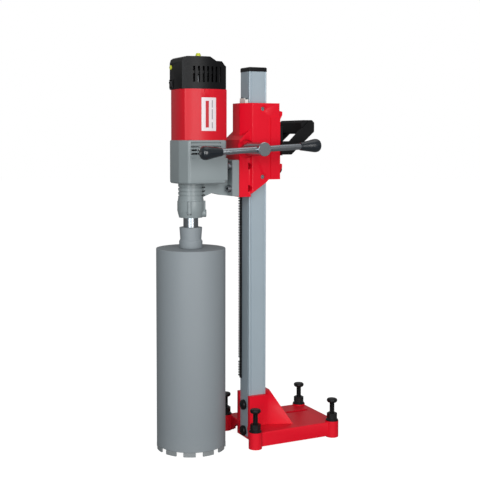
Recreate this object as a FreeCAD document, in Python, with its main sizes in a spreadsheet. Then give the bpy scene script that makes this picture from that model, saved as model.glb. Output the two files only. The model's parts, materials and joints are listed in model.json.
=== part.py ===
"""Core drill rig: a drill stand with a rack-fed carriage, its electric drill motor and a core bit.

Millimetres, +Z up. X = Y = 0 is the axis of the column, Z = 0 is the floor, -Y is the drilling side and
+X is the side of the feed handle. Every driving size is a cell of the sheet "dim".
"""
import FreeCAD, Part
import math
import os
import re
import Sketcher
from FreeCAD import Placement, Rotation, Vector

SIZES = {
    "running": 0.05,            # radial clearance of a running fit
    "seat": 0.02,               # gap of a piece that is held in its seat
    # base casting
    "base_half": 84.0, "base_front": -26.0, "base_back": 186.0, "base_top": 36.0, "base_lift": 3.5,
    "base_wall": 6.0, "base_corner": 14.0, "boss_radius": 15.5, "boss_top": 38.5,
    "screw_half": 78.0, "screw_front": -34.0, "screw_back": 172.0, "arch_height": 24.0,
    "arch_half": 60.0, "socket_wall": 9.5, "socket_top": 106.5, "socket_front": -25.0,
    "gusset_top": 116.0, "gusset_foot": 80.0, "gusset_spread": 56.0, "gusset_crest": 22.0,
    "slot_width": 13.0, "slot_length": 62.0, "slot_x": -28.0, "slot_y": 137.0,
    # levelling screws
    "level_radius": 6.0, "level_top": 91.0, "level_tip": 1.0, "level_head": 12.4, "level_head_deep": 9.0,
    "nut_radius": 10.6, "nut_deep": 12.0, "washer_radius": 14.6, "washer_deep": 6.5,
    # column and rack
    "column_side": 45.0, "column_foot": 6.0, "column_top": 862.0, "column_wall": 4.0,
    "groove_width": 3.0, "groove_depth": 1.2, "groove_offset": 17.0, "column_corner": 1.6,
    "cap_deep": 10.0, "cap_proud": 0.8, "cap_plug": 14.0,
    "column_bolt_radius": 5.0, "column_bolt_low": 18.0, "column_bolt_high": 80.0,
    "bolt_head_radius": 11.6, "bolt_head_deep": 8.5,
    "rack_foot": 140.0, "rack_top": 752.0, "rack_joint": 183.0, "rack_x": -17.5, "rack_wide": 9.0,
    "rack_module": 2.0, "rack_back": 2.1, "rack_screw_radius": 2.0,
    # carriage
    "carriage_half": 45.0, "carriage_front": 45.0, "carriage_nose": 18.0, "carriage_chamfer": 25.5,
    "carriage_back": 45.5, "carriage_top": 789.0, "carriage_foot": 575.0, "carriage_heel": 614.0,
    "carriage_gap": 3.2, "face_plane": 56.0, "face_half": 40.0, "face_top": 705.0, "face_shoulder": 737.0,
    "pinion_z": 684.5, "pinion_teeth": 12.0, "pinion_face": 11.0, "shaft_radius": 8.0,
    "bush_wall": 2.5, "pocket_radius": 21.0, "pocket_depth": 12.0, "pad_long": 26.0, "pad_wide": 22.0,
    "guide_high": 776.0, "guide_low": 620.0, "guide_radius": 5.0, "wiper_deep": 9.0,
    # feed handle
    "hub_radius": 15.5, "hub_start": 52.0, "hub_end": 130.0, "bar_radius": 7.0, "bar_x": 115.0,
    "bar_half": 141.0, "bar_tilt": 3.2, "knob_long": 51.0, "knob_radius": 15.3, "knob_neck": 9.0,
    "knob_grip": 43.0,          # how far the bar goes into each knob
    # carry handle
    "bail_half": 56.0, "bail_thick": 8.5, "bail_foot": 671.0, "bail_rise": 702.0, "bail_low": 724.0,
    "bail_crest": 751.0, "bail_reach": 131.0, "bail_screw_low": 683.0, "bail_screw_high": 726.0,
    "bail_screw_x": 32.0, "lock_z": 637.0, "lock_x": 12.0,
    "lock_radius": 4.0,
    # drill
    "spindle_y": -160.0, "motor_y": -143.0, "motor_half": 48.0, "motor_front": -196.0,
    "motor_back": -88.0, "side_radius": 120.0, "motor_skin": 1.5, "motor_wall": 4.5, "case_half": 54.0,
    "case_front": -200.0, "case_back": -94.0, "case_nose": 25.0, "case_slant": 0.41,
    "case_wall": 4.0, "case_foot": 607.0, "case_split": 664.0, "motor_foot": 704.5, "cap_foot": 818.0,
    "cap_top": 889.5, "cap_wall": 4.0, "crown_drop": 9.0,
    "flange_half": 37.0, "flange_foot": 577.0, "flange_top": 659.5, "flange_thick": 17.0,
    "flange_bolt_x": 26.0, "flange_bolt_low": 594.0, "flange_bolt_high": 645.0, "flange_bolt_radius": 5.0,
    "neck_radius": 28.5, "neck_foot": 571.5, "collar_radius": 30.6, "collar_foot": 529.5,
    "port_turn": 60.0, "port_boss": 8.6, "port_bore": 6.58, "port_deep": 12.0, "port_high": 9.5,
    "rib_radius": 5.6, "rib_turn": -30.0,
    "label_wide": 36.0, "label_tall": 74.0, "label_y": -137.0, "label_z": 762.0, "label_thick": 0.8,
    "vent_wide": 4.6, "vent_foot": 833.0, "vent_top": 868.0, "vent_pitch": 10.8, "vent_first": -173.0,
    "vent_count": 7.0, "bubble_radius": 6.4, "front_bubble_x": -28.0, "front_bubble_z": 868.0,
    "switch_x": -24.0, "switch_foot": 821.0, "switch_side": 20.0, "switch_deep": 11.0, "switch_proud": 2.0,
    "gland_y": -128.0, "gland_z": 832.0,
    # gear train
    "fast_module": 1.0, "slow_module": 1.25, "motor_teeth": 14.0, "idler_teeth": 42.0,
    "lay_teeth": 13.0, "spindle_teeth": 42.0, "slow_gear_foot": 628.0, "slow_gear_face": 16.0,
    "fast_gear_foot": 660.0, "fast_gear_face": 12.0, "plate_foot": 690.0, "plate_top": 704.5,
    # spindle and core bit
    "spindle_radius": 17.0, "shoulder_foot": 507.6, "spindle_bore": 5.0, "spindle_nose": 13.0,
    "bit_radius": 79.0, "bit_wall": 3.0, "bit_top": 460.0, "bit_hub_radius": 26.0, "bit_plate": 6.0,
    "segment_tall": 10.0, "segment_thick": 3.6, "segment_count": 11.0, "segment_gap": 12.4,
    "segment_turn": -4.0,
}

doc = FreeCAD.newDocument("core_drill_rig")
dim = doc.addObject("Spreadsheet::Sheet", "dim")
for row, (alias, value) in enumerate(SIZES.items(), start=1):
    dim.set(f"A{row}", alias)
    dim.set(f"B{row}", str(value))
    dim.setAlias(f"B{row}", alias)
doc.recompute()

NODES = {}
ALIAS = re.compile(r"\b(" + "|".join(sorted(SIZES, key=len, reverse=True)) + r")\b")
TURN = {
    "Z": Rotation(),
    "X": Rotation(Vector(0, 1, 0), 90),
    "-X": Rotation(Vector(0, 1, 0), -90),
    "Y": Rotation(Vector(1, 0, 0), -90),
    "-Y": Rotation(Vector(1, 0, 0), 90),
    "-Z": Rotation(Vector(1, 0, 0), 180),
    "port": Rotation(Vector(0, 0, 1), SIZES["port_turn"]) * Rotation(Vector(0, 1, 0), 90),
}


# ---------------------------------------------------------------- building blocks
def bound(text):
    """The expression with each size's name turned into its cell."""
    return ALIAS.sub(r"dim.\1", str(text))


def num(text):
    """The number that an expression has now."""
    return float(dim.evalExpression(bound(text)))


def put(obj, x=0, y=0, z=0, along="Z"):
    """Place an object at bound coordinates, its own Z turned to the named direction."""
    obj.Placement = Placement(Vector(), TURN[along])
    for axis, text in zip("xyz", (x, y, z)):
        obj.setExpression(f"Placement.Base.{axis}", bound(text))
    return obj


def primitive(kind, sizes, at, along="Z"):
    obj = doc.addObject(kind, "solid")
    for name, text in sizes.items():
        obj.setExpression(name, bound(text))
    return put(obj, *at, along=along)


def box(x, y, z, at):
    return primitive("Part::Box", {"Length": x, "Width": y, "Height": z}, at)


def centred_box(x, y, z, at):
    """A box centred on its place in X and Y and standing on it in Z."""
    return box(x, y, z, (f"{at[0]} - ({x}) / 2", f"{at[1]} - ({y}) / 2", at[2]))


def rod(radius, length, at, along="Z"):
    return primitive("Part::Cylinder", {"Radius": radius, "Height": length}, at, along)


def hexagon(across, length, at, along="Z"):
    obj = primitive("Part::Prism", {"Circumradius": f"({across}) / cos(30)", "Height": length}, at, along)
    obj.Polygon = 6
    return obj


def cut(base, *tools):
    """One piece less the others."""
    obj = doc.addObject("Part::Cut", "cut")
    obj.Base = base
    obj.Tool = tools[0] if len(tools) == 1 else together(*tools)
    return obj


def fuse(*parts):
    obj = doc.addObject("Part::MultiFuse", "fuse")
    obj.Shapes = list(parts)
    obj.Refine = True
    return obj


def common(first, second):
    obj = doc.addObject("Part::Common", "common")
    obj.Base = first
    obj.Tool = second
    return obj


def together(*parts):
    """Several separate solids as one object."""
    obj = doc.addObject("Part::Compound", "group")
    obj.Links = list(parts)
    return obj


def origin_plane(body, role):
    return next(f for f in body.Origin.OriginFeatures if f.Role == role)


def outline(body, plane, points):
    """A closed sketch of straight lines whose every corner is bound to the sheet."""
    sketch = body.newObject("Sketcher::SketchObject", "outline")
    sketch.AttachmentSupport = [(origin_plane(body, plane), "")]
    sketch.MapMode = "FlatFace"
    corners = [Vector(num(a), num(b), 0) for a, b in points]
    count = len(corners)
    for i in range(count):
        sketch.addGeometry(Part.LineSegment(corners[i], corners[(i + 1) % count]))
    for i in range(count):
        sketch.addConstraint(Sketcher.Constraint("Coincident", i, 2, (i + 1) % count, 1))
    for i, pair in enumerate(points):
        for kind, text in zip(("DistanceX", "DistanceY"), pair):
            index = sketch.addConstraint(Sketcher.Constraint(kind, -1, 1, i, 1, num(text)))
            sketch.setExpression(f"Constraints[{index}]", bound(text))
    return sketch


def lines_along(shape, direction):
    """The names of a shape's straight edges that run along a direction."""
    names = []
    for i, edge in enumerate(shape.Edges, start=1):
        if edge.Curve.TypeId == "Part::GeomLine" and abs(edge.Curve.Direction.dot(direction)) > 0.999:
            names.append(f"Edge{i}")
    return names


def rim_edges(shape, direction, far=True):
    """The names of the edges that lie in a shape's last plane along a direction."""
    reach = max if far else min
    level = reach(vertex.Point.dot(direction) for vertex in shape.Vertexes)
    names = []
    for i, edge in enumerate(shape.Edges, start=1):
        if all(abs(vertex.Point.dot(direction) - level) < 1e-4 for vertex in edge.Vertexes):
            names.append(f"Edge{i}")
    return names


NORMAL = {"XY_Plane": Vector(0, 0, 1), "XZ_Plane": Vector(0, -1, 0), "YZ_Plane": Vector(1, 0, 0)}


def dress(body, base, kind, edges, size):
    """A PartDesign fillet or chamfer of a bound size on named edges."""
    feature = body.newObject(f"PartDesign::{kind}", kind.lower())
    feature.Base = (base, edges)
    feature.setExpression("Radius" if kind == "Fillet" else "Size", bound(size))
    doc.recompute()
    return feature


def extrusion(plane, points, length, at=(0, 0, 0), rounding=None, rim=None, foot=None):
    """A padded outline; its long edges and its two end rims can be rounded."""
    body = doc.addObject("PartDesign::Body", "body")
    pad = body.newObject("PartDesign::Pad", "pad")
    pad.Profile = outline(body, plane, points)
    pad.setExpression("Length", bound(length))
    doc.recompute()
    last = pad
    if rounding:
        last = dress(body, last, "Fillet", lines_along(last.Shape, NORMAL[plane]), rounding)
    if rim:
        last = dress(body, last, "Fillet", rim_edges(last.Shape, NORMAL[plane]), rim)
    if foot:
        last = dress(body, last, "Fillet", rim_edges(last.Shape, NORMAL[plane], far=False), foot)
    return put(body, *at)


def turned(points, at=(0, 0, 0), along="Z"):
    """A turned piece: its half section (radius, height) swept round its own Z."""
    body = doc.addObject("PartDesign::Body", "body")
    spin = body.newObject("PartDesign::Revolution", "spin")
    sketch = outline(body, "XZ_Plane", points)
    spin.Profile = sketch
    spin.ReferenceAxis = (sketch, ["V_Axis"])
    spin.Angle = 360
    doc.recompute()
    return put(body, *at, along=along)


def bar_outline(left, right, low, high):
    return [(left, low), (right, low), (right, high), (left, high)]


def bow_outline(half, front, back):
    """A rectangle whose front edge is flat over the nose and slants back to both sides."""
    slant = f"({front}) + (({half}) - case_nose) * case_slant"
    return [(f"-({half})", back), (f"-({half})", slant), ("-case_nose", front), ("case_nose", front),
            (half, slant), (half, back)]


def crowned(block, offset):
    """The block with both sides arched in plan; `offset` is how far outside the cap's skin it lies."""
    radius, middle = f"(side_radius + ({offset}))", "(motor_front + motor_back) / 2"
    centre = "(motor_half - side_radius)"
    for sign in ("", "0 - "):
        block = common(block, rod(radius, "cap_top", (f"{sign}{centre}", middle, "0")))
    return block


def plain(shape):
    """A shape that the code works out itself."""
    obj = doc.addObject("Part::Feature", "shape")
    obj.Shape = shape
    return obj


def node(name, obj):
    obj.Label = name
    NODES[name] = obj
    return obj


# ---------------------------------------------------------------- base
def corner_places():
    return [(f"{sx} * screw_half", y) for sx in (-1, 1) for y in ("screw_front", "screw_back")]


def base_casting():
    half, wall = "base_half", "base_wall"
    shell = extrusion("XY_Plane", bar_outline(f"-{half}", half, "base_front", "base_back"),
                      "base_top - base_lift", (0, 0, "base_lift"), rounding="base_corner", rim="3")
    under = extrusion("XY_Plane",
                      bar_outline(f"-{half} + {wall}", f"{half} - {wall}",
                                  f"base_front + {wall}", f"base_back - {wall}"),
                      f"base_top - base_lift - {wall}", (0, 0, "base_lift"),
                      rounding=f"base_corner - {wall}")
    arch = extrusion("XZ_Plane", [("-arch_half", "base_lift - 1"), ("arch_half", "base_lift - 1"),
                                  ("arch_half - 22", "arch_height"), ("22 - arch_half", "arch_height")],
                     f"{wall} + 2", (0, f"base_front + {wall} + 1", 0))
    side = "column_side / 2 + seat"
    outer = f"{side} + socket_wall"
    socket = box(f"2 * ({outer})", f"{outer} - socket_front", "socket_top - base_lift",
                 (f"-({outer})", "socket_front", "base_lift"))
    crest = gusset()
    bosses = [rod("boss_radius", "boss_top", (x, y, 0)) for x, y in corner_places()]
    ears = [box("base_half - screw_half + boss_radius", "base_front - screw_front + 12", "base_top - base_lift",
                (x, "screw_front", "base_lift")) for x in ("screw_half - boss_radius", "-base_half")]
    channel = box(f"2 * ({side})", f"{side} - socket_front + 40", "column_top",
                  (f"-({side})", "socket_front - 40", "column_foot"))
    bores = [rod("level_radius + running", "boss_top + 2", (x, y, -1)) for x, y in corner_places()]
    bolt_holes = [rod("column_bolt_radius + seat", "socket_wall + 12", (0, f"{side} - 0.5", z), "Y")
                  for z in ("column_bolt_low", "column_bolt_high")]
    slot = fuse(centred_box("slot_width", "slot_length - slot_width", "base_top + 2",
                            ("slot_x", "slot_y", 0)),
                *[rod("slot_width / 2", "base_top + 2",
                      ("slot_x", f"slot_y {sign} (slot_length - slot_width) / 2", 0)) for sign in "+-"])
    hollow = cut(shell, under, arch)
    raised = fuse(hollow, socket, crest, *bosses, *ears)
    return node("base_casting", cut(raised, channel, *bores, *bolt_holes, slot))


def gusset():
    """The wedge that props the socket from behind: wide at its foot, narrow at its crest."""
    low, high = num("base_top - 3"), num("gusset_top")
    side = num("column_side / 2 + seat")
    wall = num("socket_wall")
    foot = [(side + wall, side), (num("gusset_spread"), num("gusset_foot"))]
    crest = [(side + wall, side), (num("gusset_crest"), side + wall)]
    wires = []
    for (inner, outer), z in ((foot, low), (crest, high)):
        ring = [inner, outer, (-outer[0], outer[1]), (-inner[0], inner[1])]
        wires.append(Part.makePolygon([Vector(x, y, z) for x, y in ring + ring[:1]]))
    return plain(Part.makeLoft(wires, True, True))


def levelling_screws():
    for number, (x, y) in enumerate(corner_places(), start=1):
        shank = rod("level_radius", "level_top - level_tip - 4", (x, y, "level_tip"))
        head = turned([(0, "0 - level_head_deep"), ("level_head - 2.4", "0 - level_head_deep"),
                       ("level_head", "3 - level_head_deep"), ("level_head", "-2"),
                       ("level_head - 2", 0), (0, 0)], (x, y, "level_top"))
        node(f"levelling_screw_{number}", fuse(shank, head))


def lock_nuts():
    nuts = []
    for x, y in corner_places():
        washer = turned([("level_radius + running", 0), ("washer_radius", 0),
                         ("washer_radius", "washer_deep / 3"), ("nut_radius - 0.5", "washer_deep"),
                         ("level_radius + running", "washer_deep")], (x, y, "boss_top"))
        nut = cut(hexagon("nut_radius", "nut_deep", (x, y, "boss_top + washer_deep - 0.5")),
                  rod("level_radius + running", "nut_deep + washer_deep + 2", (x, y, "boss_top")))
        nuts.append(fuse(washer, nut))
    node("levelling_lock_nuts", together(*nuts))


# ---------------------------------------------------------------- column and rack
def column():
    half, top, foot = "column_side / 2", "column_top", "column_foot"
    tube = extrusion("XY_Plane", bar_outline(f"-{half}", half, f"-{half}", half), f"{top} - {foot}",
                     (0, 0, foot), rounding="column_corner")
    inner = "column_side / 2 - column_wall"
    hole = extrusion("XY_Plane", bar_outline(f"-({inner})", inner, f"-({inner})", inner),
                     f"{top} - {foot} + 2", (0, 0, f"{foot} - 1"), rounding="column_corner")
    sides = [(side, sign) for side in (-1, 1) for sign in (-1, 1)]
    grooves = [centred_box("groove_depth * 2", "groove_width", top,
                           (f"{side} * {half}", f"{sign} * groove_offset", 0)) for side, sign in sides]
    # the front face has only one groove, because the rack lies where the other would be
    grooves += [centred_box("groove_width", "groove_depth * 2", top,
                            (f"{sign} * groove_offset", f"{side} * {half}", 0))
                for side, sign in sides if (side, sign) != (-1, -1)]
    holes = [rod("column_bolt_radius + seat", "column_side + 4", (0, f"-{half} - 2", z), "Y")
             for z in ("column_bolt_low", "column_bolt_high")]
    taps = [rod("rack_screw_radius + seat", "column_wall + 2", ("rack_x", f"-{half} - 1", z), "Y")
            for z in rack_screw_heights()]
    node("column", cut(tube, hole, *grooves, *holes, *taps))


def end_cap():
    half = "(column_side / 2 + cap_proud)"
    lid = extrusion("XY_Plane", bar_outline(f"-{half}", half, f"-{half}", half), "cap_deep",
                    (0, 0, "column_top"), rounding="column_corner + 0.6", rim="3.2")
    inner = "(column_side / 2 - column_wall - seat)"
    plug = extrusion("XY_Plane", bar_outline(f"-{inner}", inner, f"-{inner}", inner), "cap_plug + 1",
                     (0, 0, "column_top - cap_plug"), rounding="column_corner")
    node("column_end_cap", fuse(lid, plug))


def column_bolts():
    bolts = []
    for z in ("column_bolt_low", "column_bolt_high"):
        shank = rod("column_bolt_radius", "column_side + socket_wall + 6", (0, "0 - column_side / 2", z), "Y")
        head = turned([(0, 0), ("bolt_head_radius", 0), ("bolt_head_radius", "bolt_head_deep - 3"),
                       ("bolt_head_radius - 1.6", "bolt_head_deep - 0.8"),
                       ("bolt_head_radius - 4", "bolt_head_deep"), (0, "bolt_head_deep")],
                      (0, "0 - column_side / 2", z), "-Y")
        socket = hexagon("2.9", "3.2", (0, "-column_side / 2 - bolt_head_deep - 0.1", z), "Y")
        bolts.append(cut(fuse(shank, head), socket))
    node("column_bolts", together(*bolts))


def rack_screw_heights():
    return [f"rack_foot + {step}" for step in (22, 90, 250, 410, 570)]


def rack_pitch_y():
    """Distance of the rack's pitch line in front of the column's axis."""
    return "(column_side / 2 + rack_back + 1.25 * rack_module)"


def pinion_y():
    return f"(-{rack_pitch_y()} - pinion_teeth * rack_module / 2)"


def rack():
    """Two lengths of rack end to end; a gap between teeth lies level with the pinion's axis."""
    module, pitch = num("rack_module"), math.pi * num("rack_module")
    face = -num("column_side / 2") - 0.02
    line = -num(rack_pitch_y())
    root, tip = line + 1.25 * module, line - 0.7 * module
    flank = math.tan(math.radians(20))
    thick = 0.47 * pitch
    centre, left, wide = num("pinion_z"), num("rack_x - rack_wide / 2"), num("rack_wide")
    lengths = []
    for low, high in ((num("rack_foot"), num("rack_joint")), (num("rack_joint + 0.4"), num("rack_top"))):
        points = [(face, low), (root, low)]
        first = math.ceil((low - centre) / pitch)
        for index in range(first, int((high - centre) / pitch) + 1):
            middle = centre + (index + 0.5) * pitch
            for y, sign in ((root, -1), (tip, -1), (tip, 1), (root, 1)):
                points.append((y, middle + sign * (thick / 2 + (y - line) * flank)))
        points = [p for p in points if low <= p[1] <= high] + [(root, high), (face, high)]
        wire = Part.makePolygon([Vector(left, y, z) for y, z in points + points[:1]])
        lengths.append(plain(Part.Face(wire).extrude(Vector(wide, 0, 0))))
    holes = [rod("rack_screw_radius + seat", "30", ("rack_x", "-column_side / 2 - 20", z), "Y")
             for z in rack_screw_heights()]
    node("feed_rack", cut(together(*lengths), *holes))
    screws = [rod("rack_screw_radius", "column_wall + rack_back - 0.4",
                  ("rack_x", "0 - column_side / 2 - rack_back", z), "Y") for z in rack_screw_heights()]
    node("rack_screws", together(*screws))


# ---------------------------------------------------------------- gears
def gear_wire(teeth, module, addendum, thickness, turn):
    """Involute outline: 20 degree pressure angle, addendum in modules, tooth thickness in pitches."""
    pitch_radius = teeth * module / 2
    base = pitch_radius * math.cos(math.radians(20))
    tip, root = pitch_radius + addendum * module, pitch_radius - 1.25 * module
    involute = lambda angle: math.tan(angle) - angle
    half_at_pitch = thickness * math.pi / teeth
    start = max(base, root)
    points = []
    for tooth in range(teeth):
        middle = turn + 2 * math.pi * tooth / teeth
        flank = []
        for step in range(5):
            radius = start + (tip - start) * step / 4
            half = half_at_pitch + involute(math.radians(20)) - involute(math.acos(base / radius))
            flank.append((radius, half))
        flank.insert(0, (root, flank[0][1]))
        points += [(radius, middle - half) for radius, half in flank]
        points += [(radius, middle + half) for radius, half in reversed(flank)]
    ring = [Vector(r * math.cos(a), r * math.sin(a), 0) for r, a in points]
    return Part.makePolygon(ring + ring[:1])


def gear(teeth, module, face, bore, turn=0.0, addendum=0.8, thickness=0.46):
    """A spur gear standing on its own origin, tooth middles at `turn` radians and on."""
    blank = Part.Face(gear_wire(int(teeth), module, addendum, thickness, turn)).extrude(Vector(0, 0, face))
    return blank.cut(Part.makeCylinder(bore, face + 2, Vector(0, 0, -1)))


def moved(shape, place, along="Z"):
    """A worked-out shape, turned and carried to its place."""
    turn = Placement(place, TURN[along]) * shape.Placement
    obj = plain(shape)
    obj.Placement = turn
    return obj


def idler_place():
    """Where the lay shaft stands: the two centre distances meet on the far side."""
    near = num("(motor_teeth + idler_teeth) * fast_module / 2")
    far = num("(lay_teeth + spindle_teeth) * slow_module / 2")
    motor, spindle = num("motor_y"), num("spindle_y")
    y = ((far ** 2 - near ** 2) / (motor - spindle) + motor + spindle) / 2
    return -math.sqrt(near ** 2 - (y - motor) ** 2), y


# ---------------------------------------------------------------- carriage
def carriage_casting():
    side = "carriage_half"
    plan = [(f"-{side}", "carriage_back"), (f"-{side}", "-carriage_chamfer"),
            ("-carriage_nose", "-carriage_front"), ("carriage_nose", "-carriage_front"),
            (side, "-carriage_chamfer"), (side, "carriage_back")]
    tall = "carriage_top - carriage_foot"
    body = extrusion("XY_Plane", plan, tall, (0, 0, "carriage_foot"), rounding="3")
    nose = extrusion("YZ_Plane", [("-face_plane", "carriage_foot"), ("-20", "carriage_foot"),
                                  ("-20", "face_shoulder"), ("-face_plane", "face_top")],
                     "2 * face_half", ("-face_half", 0, 0))
    ledges = [box("2.5", "carriage_back - 21", "carriage_top - carriage_heel - 32",
                  (x, 21, "carriage_heel")) for x in ("carriage_half - 0.5", "-carriage_half - 2")]
    lugs = [extrusion("YZ_Plane", [("30", f"{z} - 22"), ("carriage_back", f"{z} - 22"),
                                   ("carriage_back + 8", f"{z} - 8"), ("carriage_back + 8", z),
                                   ("30", f"{z} + 6")], "2 * carriage_half - 6", ("3 - carriage_half", 0, 0))
            for z in ("guide_high - 6", "lock_z + 12")]
    whole = fuse(body, nose, *ledges, *lugs)
    heel = extrusion("YZ_Plane", [("0 - 28", "carriage_foot - 1"), ("-28", "carriage_foot + 7"),
                                  ("10", "carriage_heel - 7"), ("17", "carriage_heel"),
                                  ("80", "carriage_heel"), ("80", "carriage_foot - 1")],
                     "4 * carriage_half", ("-2 * carriage_half", 0, 0))
    inner = "column_side / 2 + carriage_gap"
    channel = centred_box(f"2 * ({inner})", f"2 * ({inner})", f"{tall} + 2", (0, 0, "carriage_foot - 1"))
    lane = box("rack_wide + 4", "8", f"{tall} + 2",
               ("rack_x - rack_wide / 2 - 2", "-column_side / 2 - 8", "carriage_foot - 1"))
    cavity = rod("pinion_teeth * rack_module / 2 + rack_module + 0.8", "pinion_face + 2",
                 ("rack_x - pinion_face / 2 - 1", pinion_y(), "pinion_z"), "X")
    bore = rod("shaft_radius + bush_wall + seat", "2 * carriage_half + 20",
               ("-carriage_half - 10", pinion_y(), "pinion_z"), "X")
    pocket = rod("pocket_radius", "pocket_depth + 20",
                 ("carriage_half - pocket_depth", pinion_y(), "pinion_z"), "X")
    crescents = []
    for z in ("flange_bolt_low", "flange_bolt_high"):
        for start in ("carriage_half - 18", "-carriage_half - 4"):
            hole = rod("8", "22", (start, "-34", z), "X")
            crescents.append(common(hole, box("22", "20", "20", (start, "-34", f"{z} - 10"))))
    taps = [rod("flange_bolt_radius + seat", "26", (f"{sign} * flange_bolt_x", "-face_plane - 1", z), "Y")
            for sign in (-1, 1) for z in ("flange_bolt_low", "flange_bolt_high")]
    guides = [rod("guide_radius + seat", "30", (start, 2, z), "X")
              for start in (inner, f"-({inner}) - 30") for z in ("guide_low", "guide_high")]
    sinks = [rod("guide_radius + 2.5", "10", (start, 2, z), "X")
             for start in ("carriage_half - 2", "-carriage_half - 8") for z in ("guide_low", "guide_high")]
    lock = rod("lock_radius + seat", "40", ("lock_x", "20", "lock_z"), "Y")
    bails = [rod("3 + seat", "16", (x, "carriage_back - 12", z), "Y") for x, z in bail_screws()]
    return node("carriage_casting", cut(whole, heel, channel, lane, cavity, bore, pocket, *crescents,
                                        *taps, *guides, *sinks, lock, *bails))


def bail_screws():
    return [(f"{sign} * bail_screw_x", z) for sign in (-1, 1) for z in ("bail_screw_low", "bail_screw_high")]


def glide_pads():
    """Nylon shoes between the carriage and the column's four faces, high and low."""
    half, thick = "column_side / 2 + seat", "carriage_gap - 2 * seat"
    pads = []
    for z in ("guide_low", "guide_high"):
        low = f"{z} - pad_wide / 2"
        pads.append(box(thick, "pad_long", "pad_wide", (half, "2 - pad_long / 2", low)))
        pads.append(box(thick, "pad_long", "pad_wide", (f"-({half}) - ({thick})", "2 - pad_long / 2", low)))
        pads.append(box("pad_long", thick, "pad_wide", ("0 - pad_long / 2", half, low)))
        pads.append(box("pad_long - 4", thick, "pad_wide", ("-8", f"-({half}) - ({thick})", low)))
    node("glide_pads", together(*pads))


def guide_screws():
    screws = []
    start = "column_side / 2 + carriage_gap + seat"
    for z in ("guide_low", "guide_high"):
        for along, side in (("X", 1), ("-X", -1)):
            shank = rod("guide_radius", f"carriage_half - 4 - ({start})", (f"{side} * ({start})", 2, z), along)
            screws.append(cut(shank, hexagon("2.5", "4", (f"{side} * (carriage_half - 7.9)", 2, z), along)))
    node("guide_adjusting_screws", together(*screws))


def wiper():
    """Block on the carriage's top that wipes the column's front face beside the rack."""
    left, half = "(rack_x + rack_wide / 2 + 2)", "column_side / 2"
    block = box(f"18 - {left}", "8", "wiper_deep", (left, f"-{half} - seat - 8", "carriage_top"))
    lip = box(f"13.4 - {left}", "4", "3", (left, f"-{half} - seat - 8", "carriage_top + wiper_deep"))
    node("column_wiper", fuse(block, lip))
    node("wiper_screws", together(*[
        turned([(0, 0), ("2.2", 0), ("2.2", "1.4"), (1.2, "2.2"), (0, "2.2")],
               (x, f"-{half} - 4.8 - seat", f"carriage_top + wiper_deep + {lift}"))
        for x, lift in ((-6, 3), (16, 0))]))


def bushes():
    outer, inner = "shaft_radius + bush_wall", "shaft_radius + running"
    ends = []
    for start, long in (("rack_x - pinion_face / 2 - 12", 10), ("carriage_half - pocket_depth - 16", 16)):
        ends.append(cut(rod(outer, long, (start, pinion_y(), "pinion_z"), "X"),
                        rod(inner, f"{long} + 2", (f"{start} - 1", pinion_y(), "pinion_z"), "X")))
    node("pinion_bushes", together(*ends))


def lock_screw():
    """Hand screw at the back that pinches the carriage to the column."""
    tip = "column_side / 2 + carriage_gap + 0.4"
    shank = rod("lock_radius - running", f"carriage_back + 10 - ({tip})", ("lock_x", tip, "lock_z"), "Y")
    knob = turned([(0, 0), (7, 0), (11, 3), (11, 9), (8, 12), (0, 12)],
                  ("lock_x", "carriage_back + 8.4", "lock_z"), "Y")
    node("carriage_lock_screw", fuse(shank, knob))


def carry_handle():
    half, thick = "bail_half", "bail_thick"
    seat = "carriage_back + seat"
    side = [(seat, "bail_foot"), ("carriage_back + 25", "bail_foot"), ("bail_reach", "bail_low"),
            ("bail_reach", "bail_crest - 6"), ("bail_reach - 6", "bail_crest"),
            ("bail_reach - 13", "bail_crest"), ("carriage_back + 22.5", "bail_rise"), (seat, "bail_rise")]
    arms = [extrusion("YZ_Plane", side, thick, (start, 0, 0), rounding="3")
            for start in (f"-{half}", f"{half} - {thick}")]
    grip = extrusion("YZ_Plane", [("bail_reach - 33", "bail_crest - 32"), ("bail_reach - 7", "bail_crest - 32"),
                                  ("bail_reach", "bail_low + 1"), ("bail_reach", "bail_crest - 6"),
                                  ("bail_reach - 6", "bail_crest"), ("bail_reach - 27", "bail_crest"),
                                  ("bail_reach - 33", "bail_crest - 6")],
                     f"2 * {half} - {thick}", (f"{thick} / 2 - {half}", 0, 0), rounding="3.5")
    plate = box("2 * carriage_half - 6", "9", "68", ("3 - carriage_half", seat, "bail_foot - 2"))
    window = box("40", "20", "40", ("-20", "carriage_back - 5", "bail_foot + 12"))
    rail = box(f"2 * {half} - {thick}", "20", "16", (f"{thick} / 2 - {half}", "carriage_back + 4", "bail_foot"))
    sunk = {"bail_screw_high": "carriage_back + 7", "bail_screw_low": "carriage_back + 18"}
    holes = [rod("3 + seat", "40", (x, "carriage_back - 2", z), "Y") for x, z in bail_screws()]
    sinks = [rod("6", "40", (x, sunk[z], z), "Y") for x, z in bail_screws()]
    whole = fuse(plate, rail, *arms, grip)
    node("carry_handle", cut(whole, window, *holes, *sinks))
    screws = []
    for x, z in bail_screws():
        shank = rod("3", f"{sunk[z]} - carriage_back + 9", (x, "carriage_back - 9", z), "Y")
        screws.append(fuse(shank, rod("5.4", "4", (x, sunk[z], z), "Y")))
    node("carry_handle_screws", together(*screws))


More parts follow.
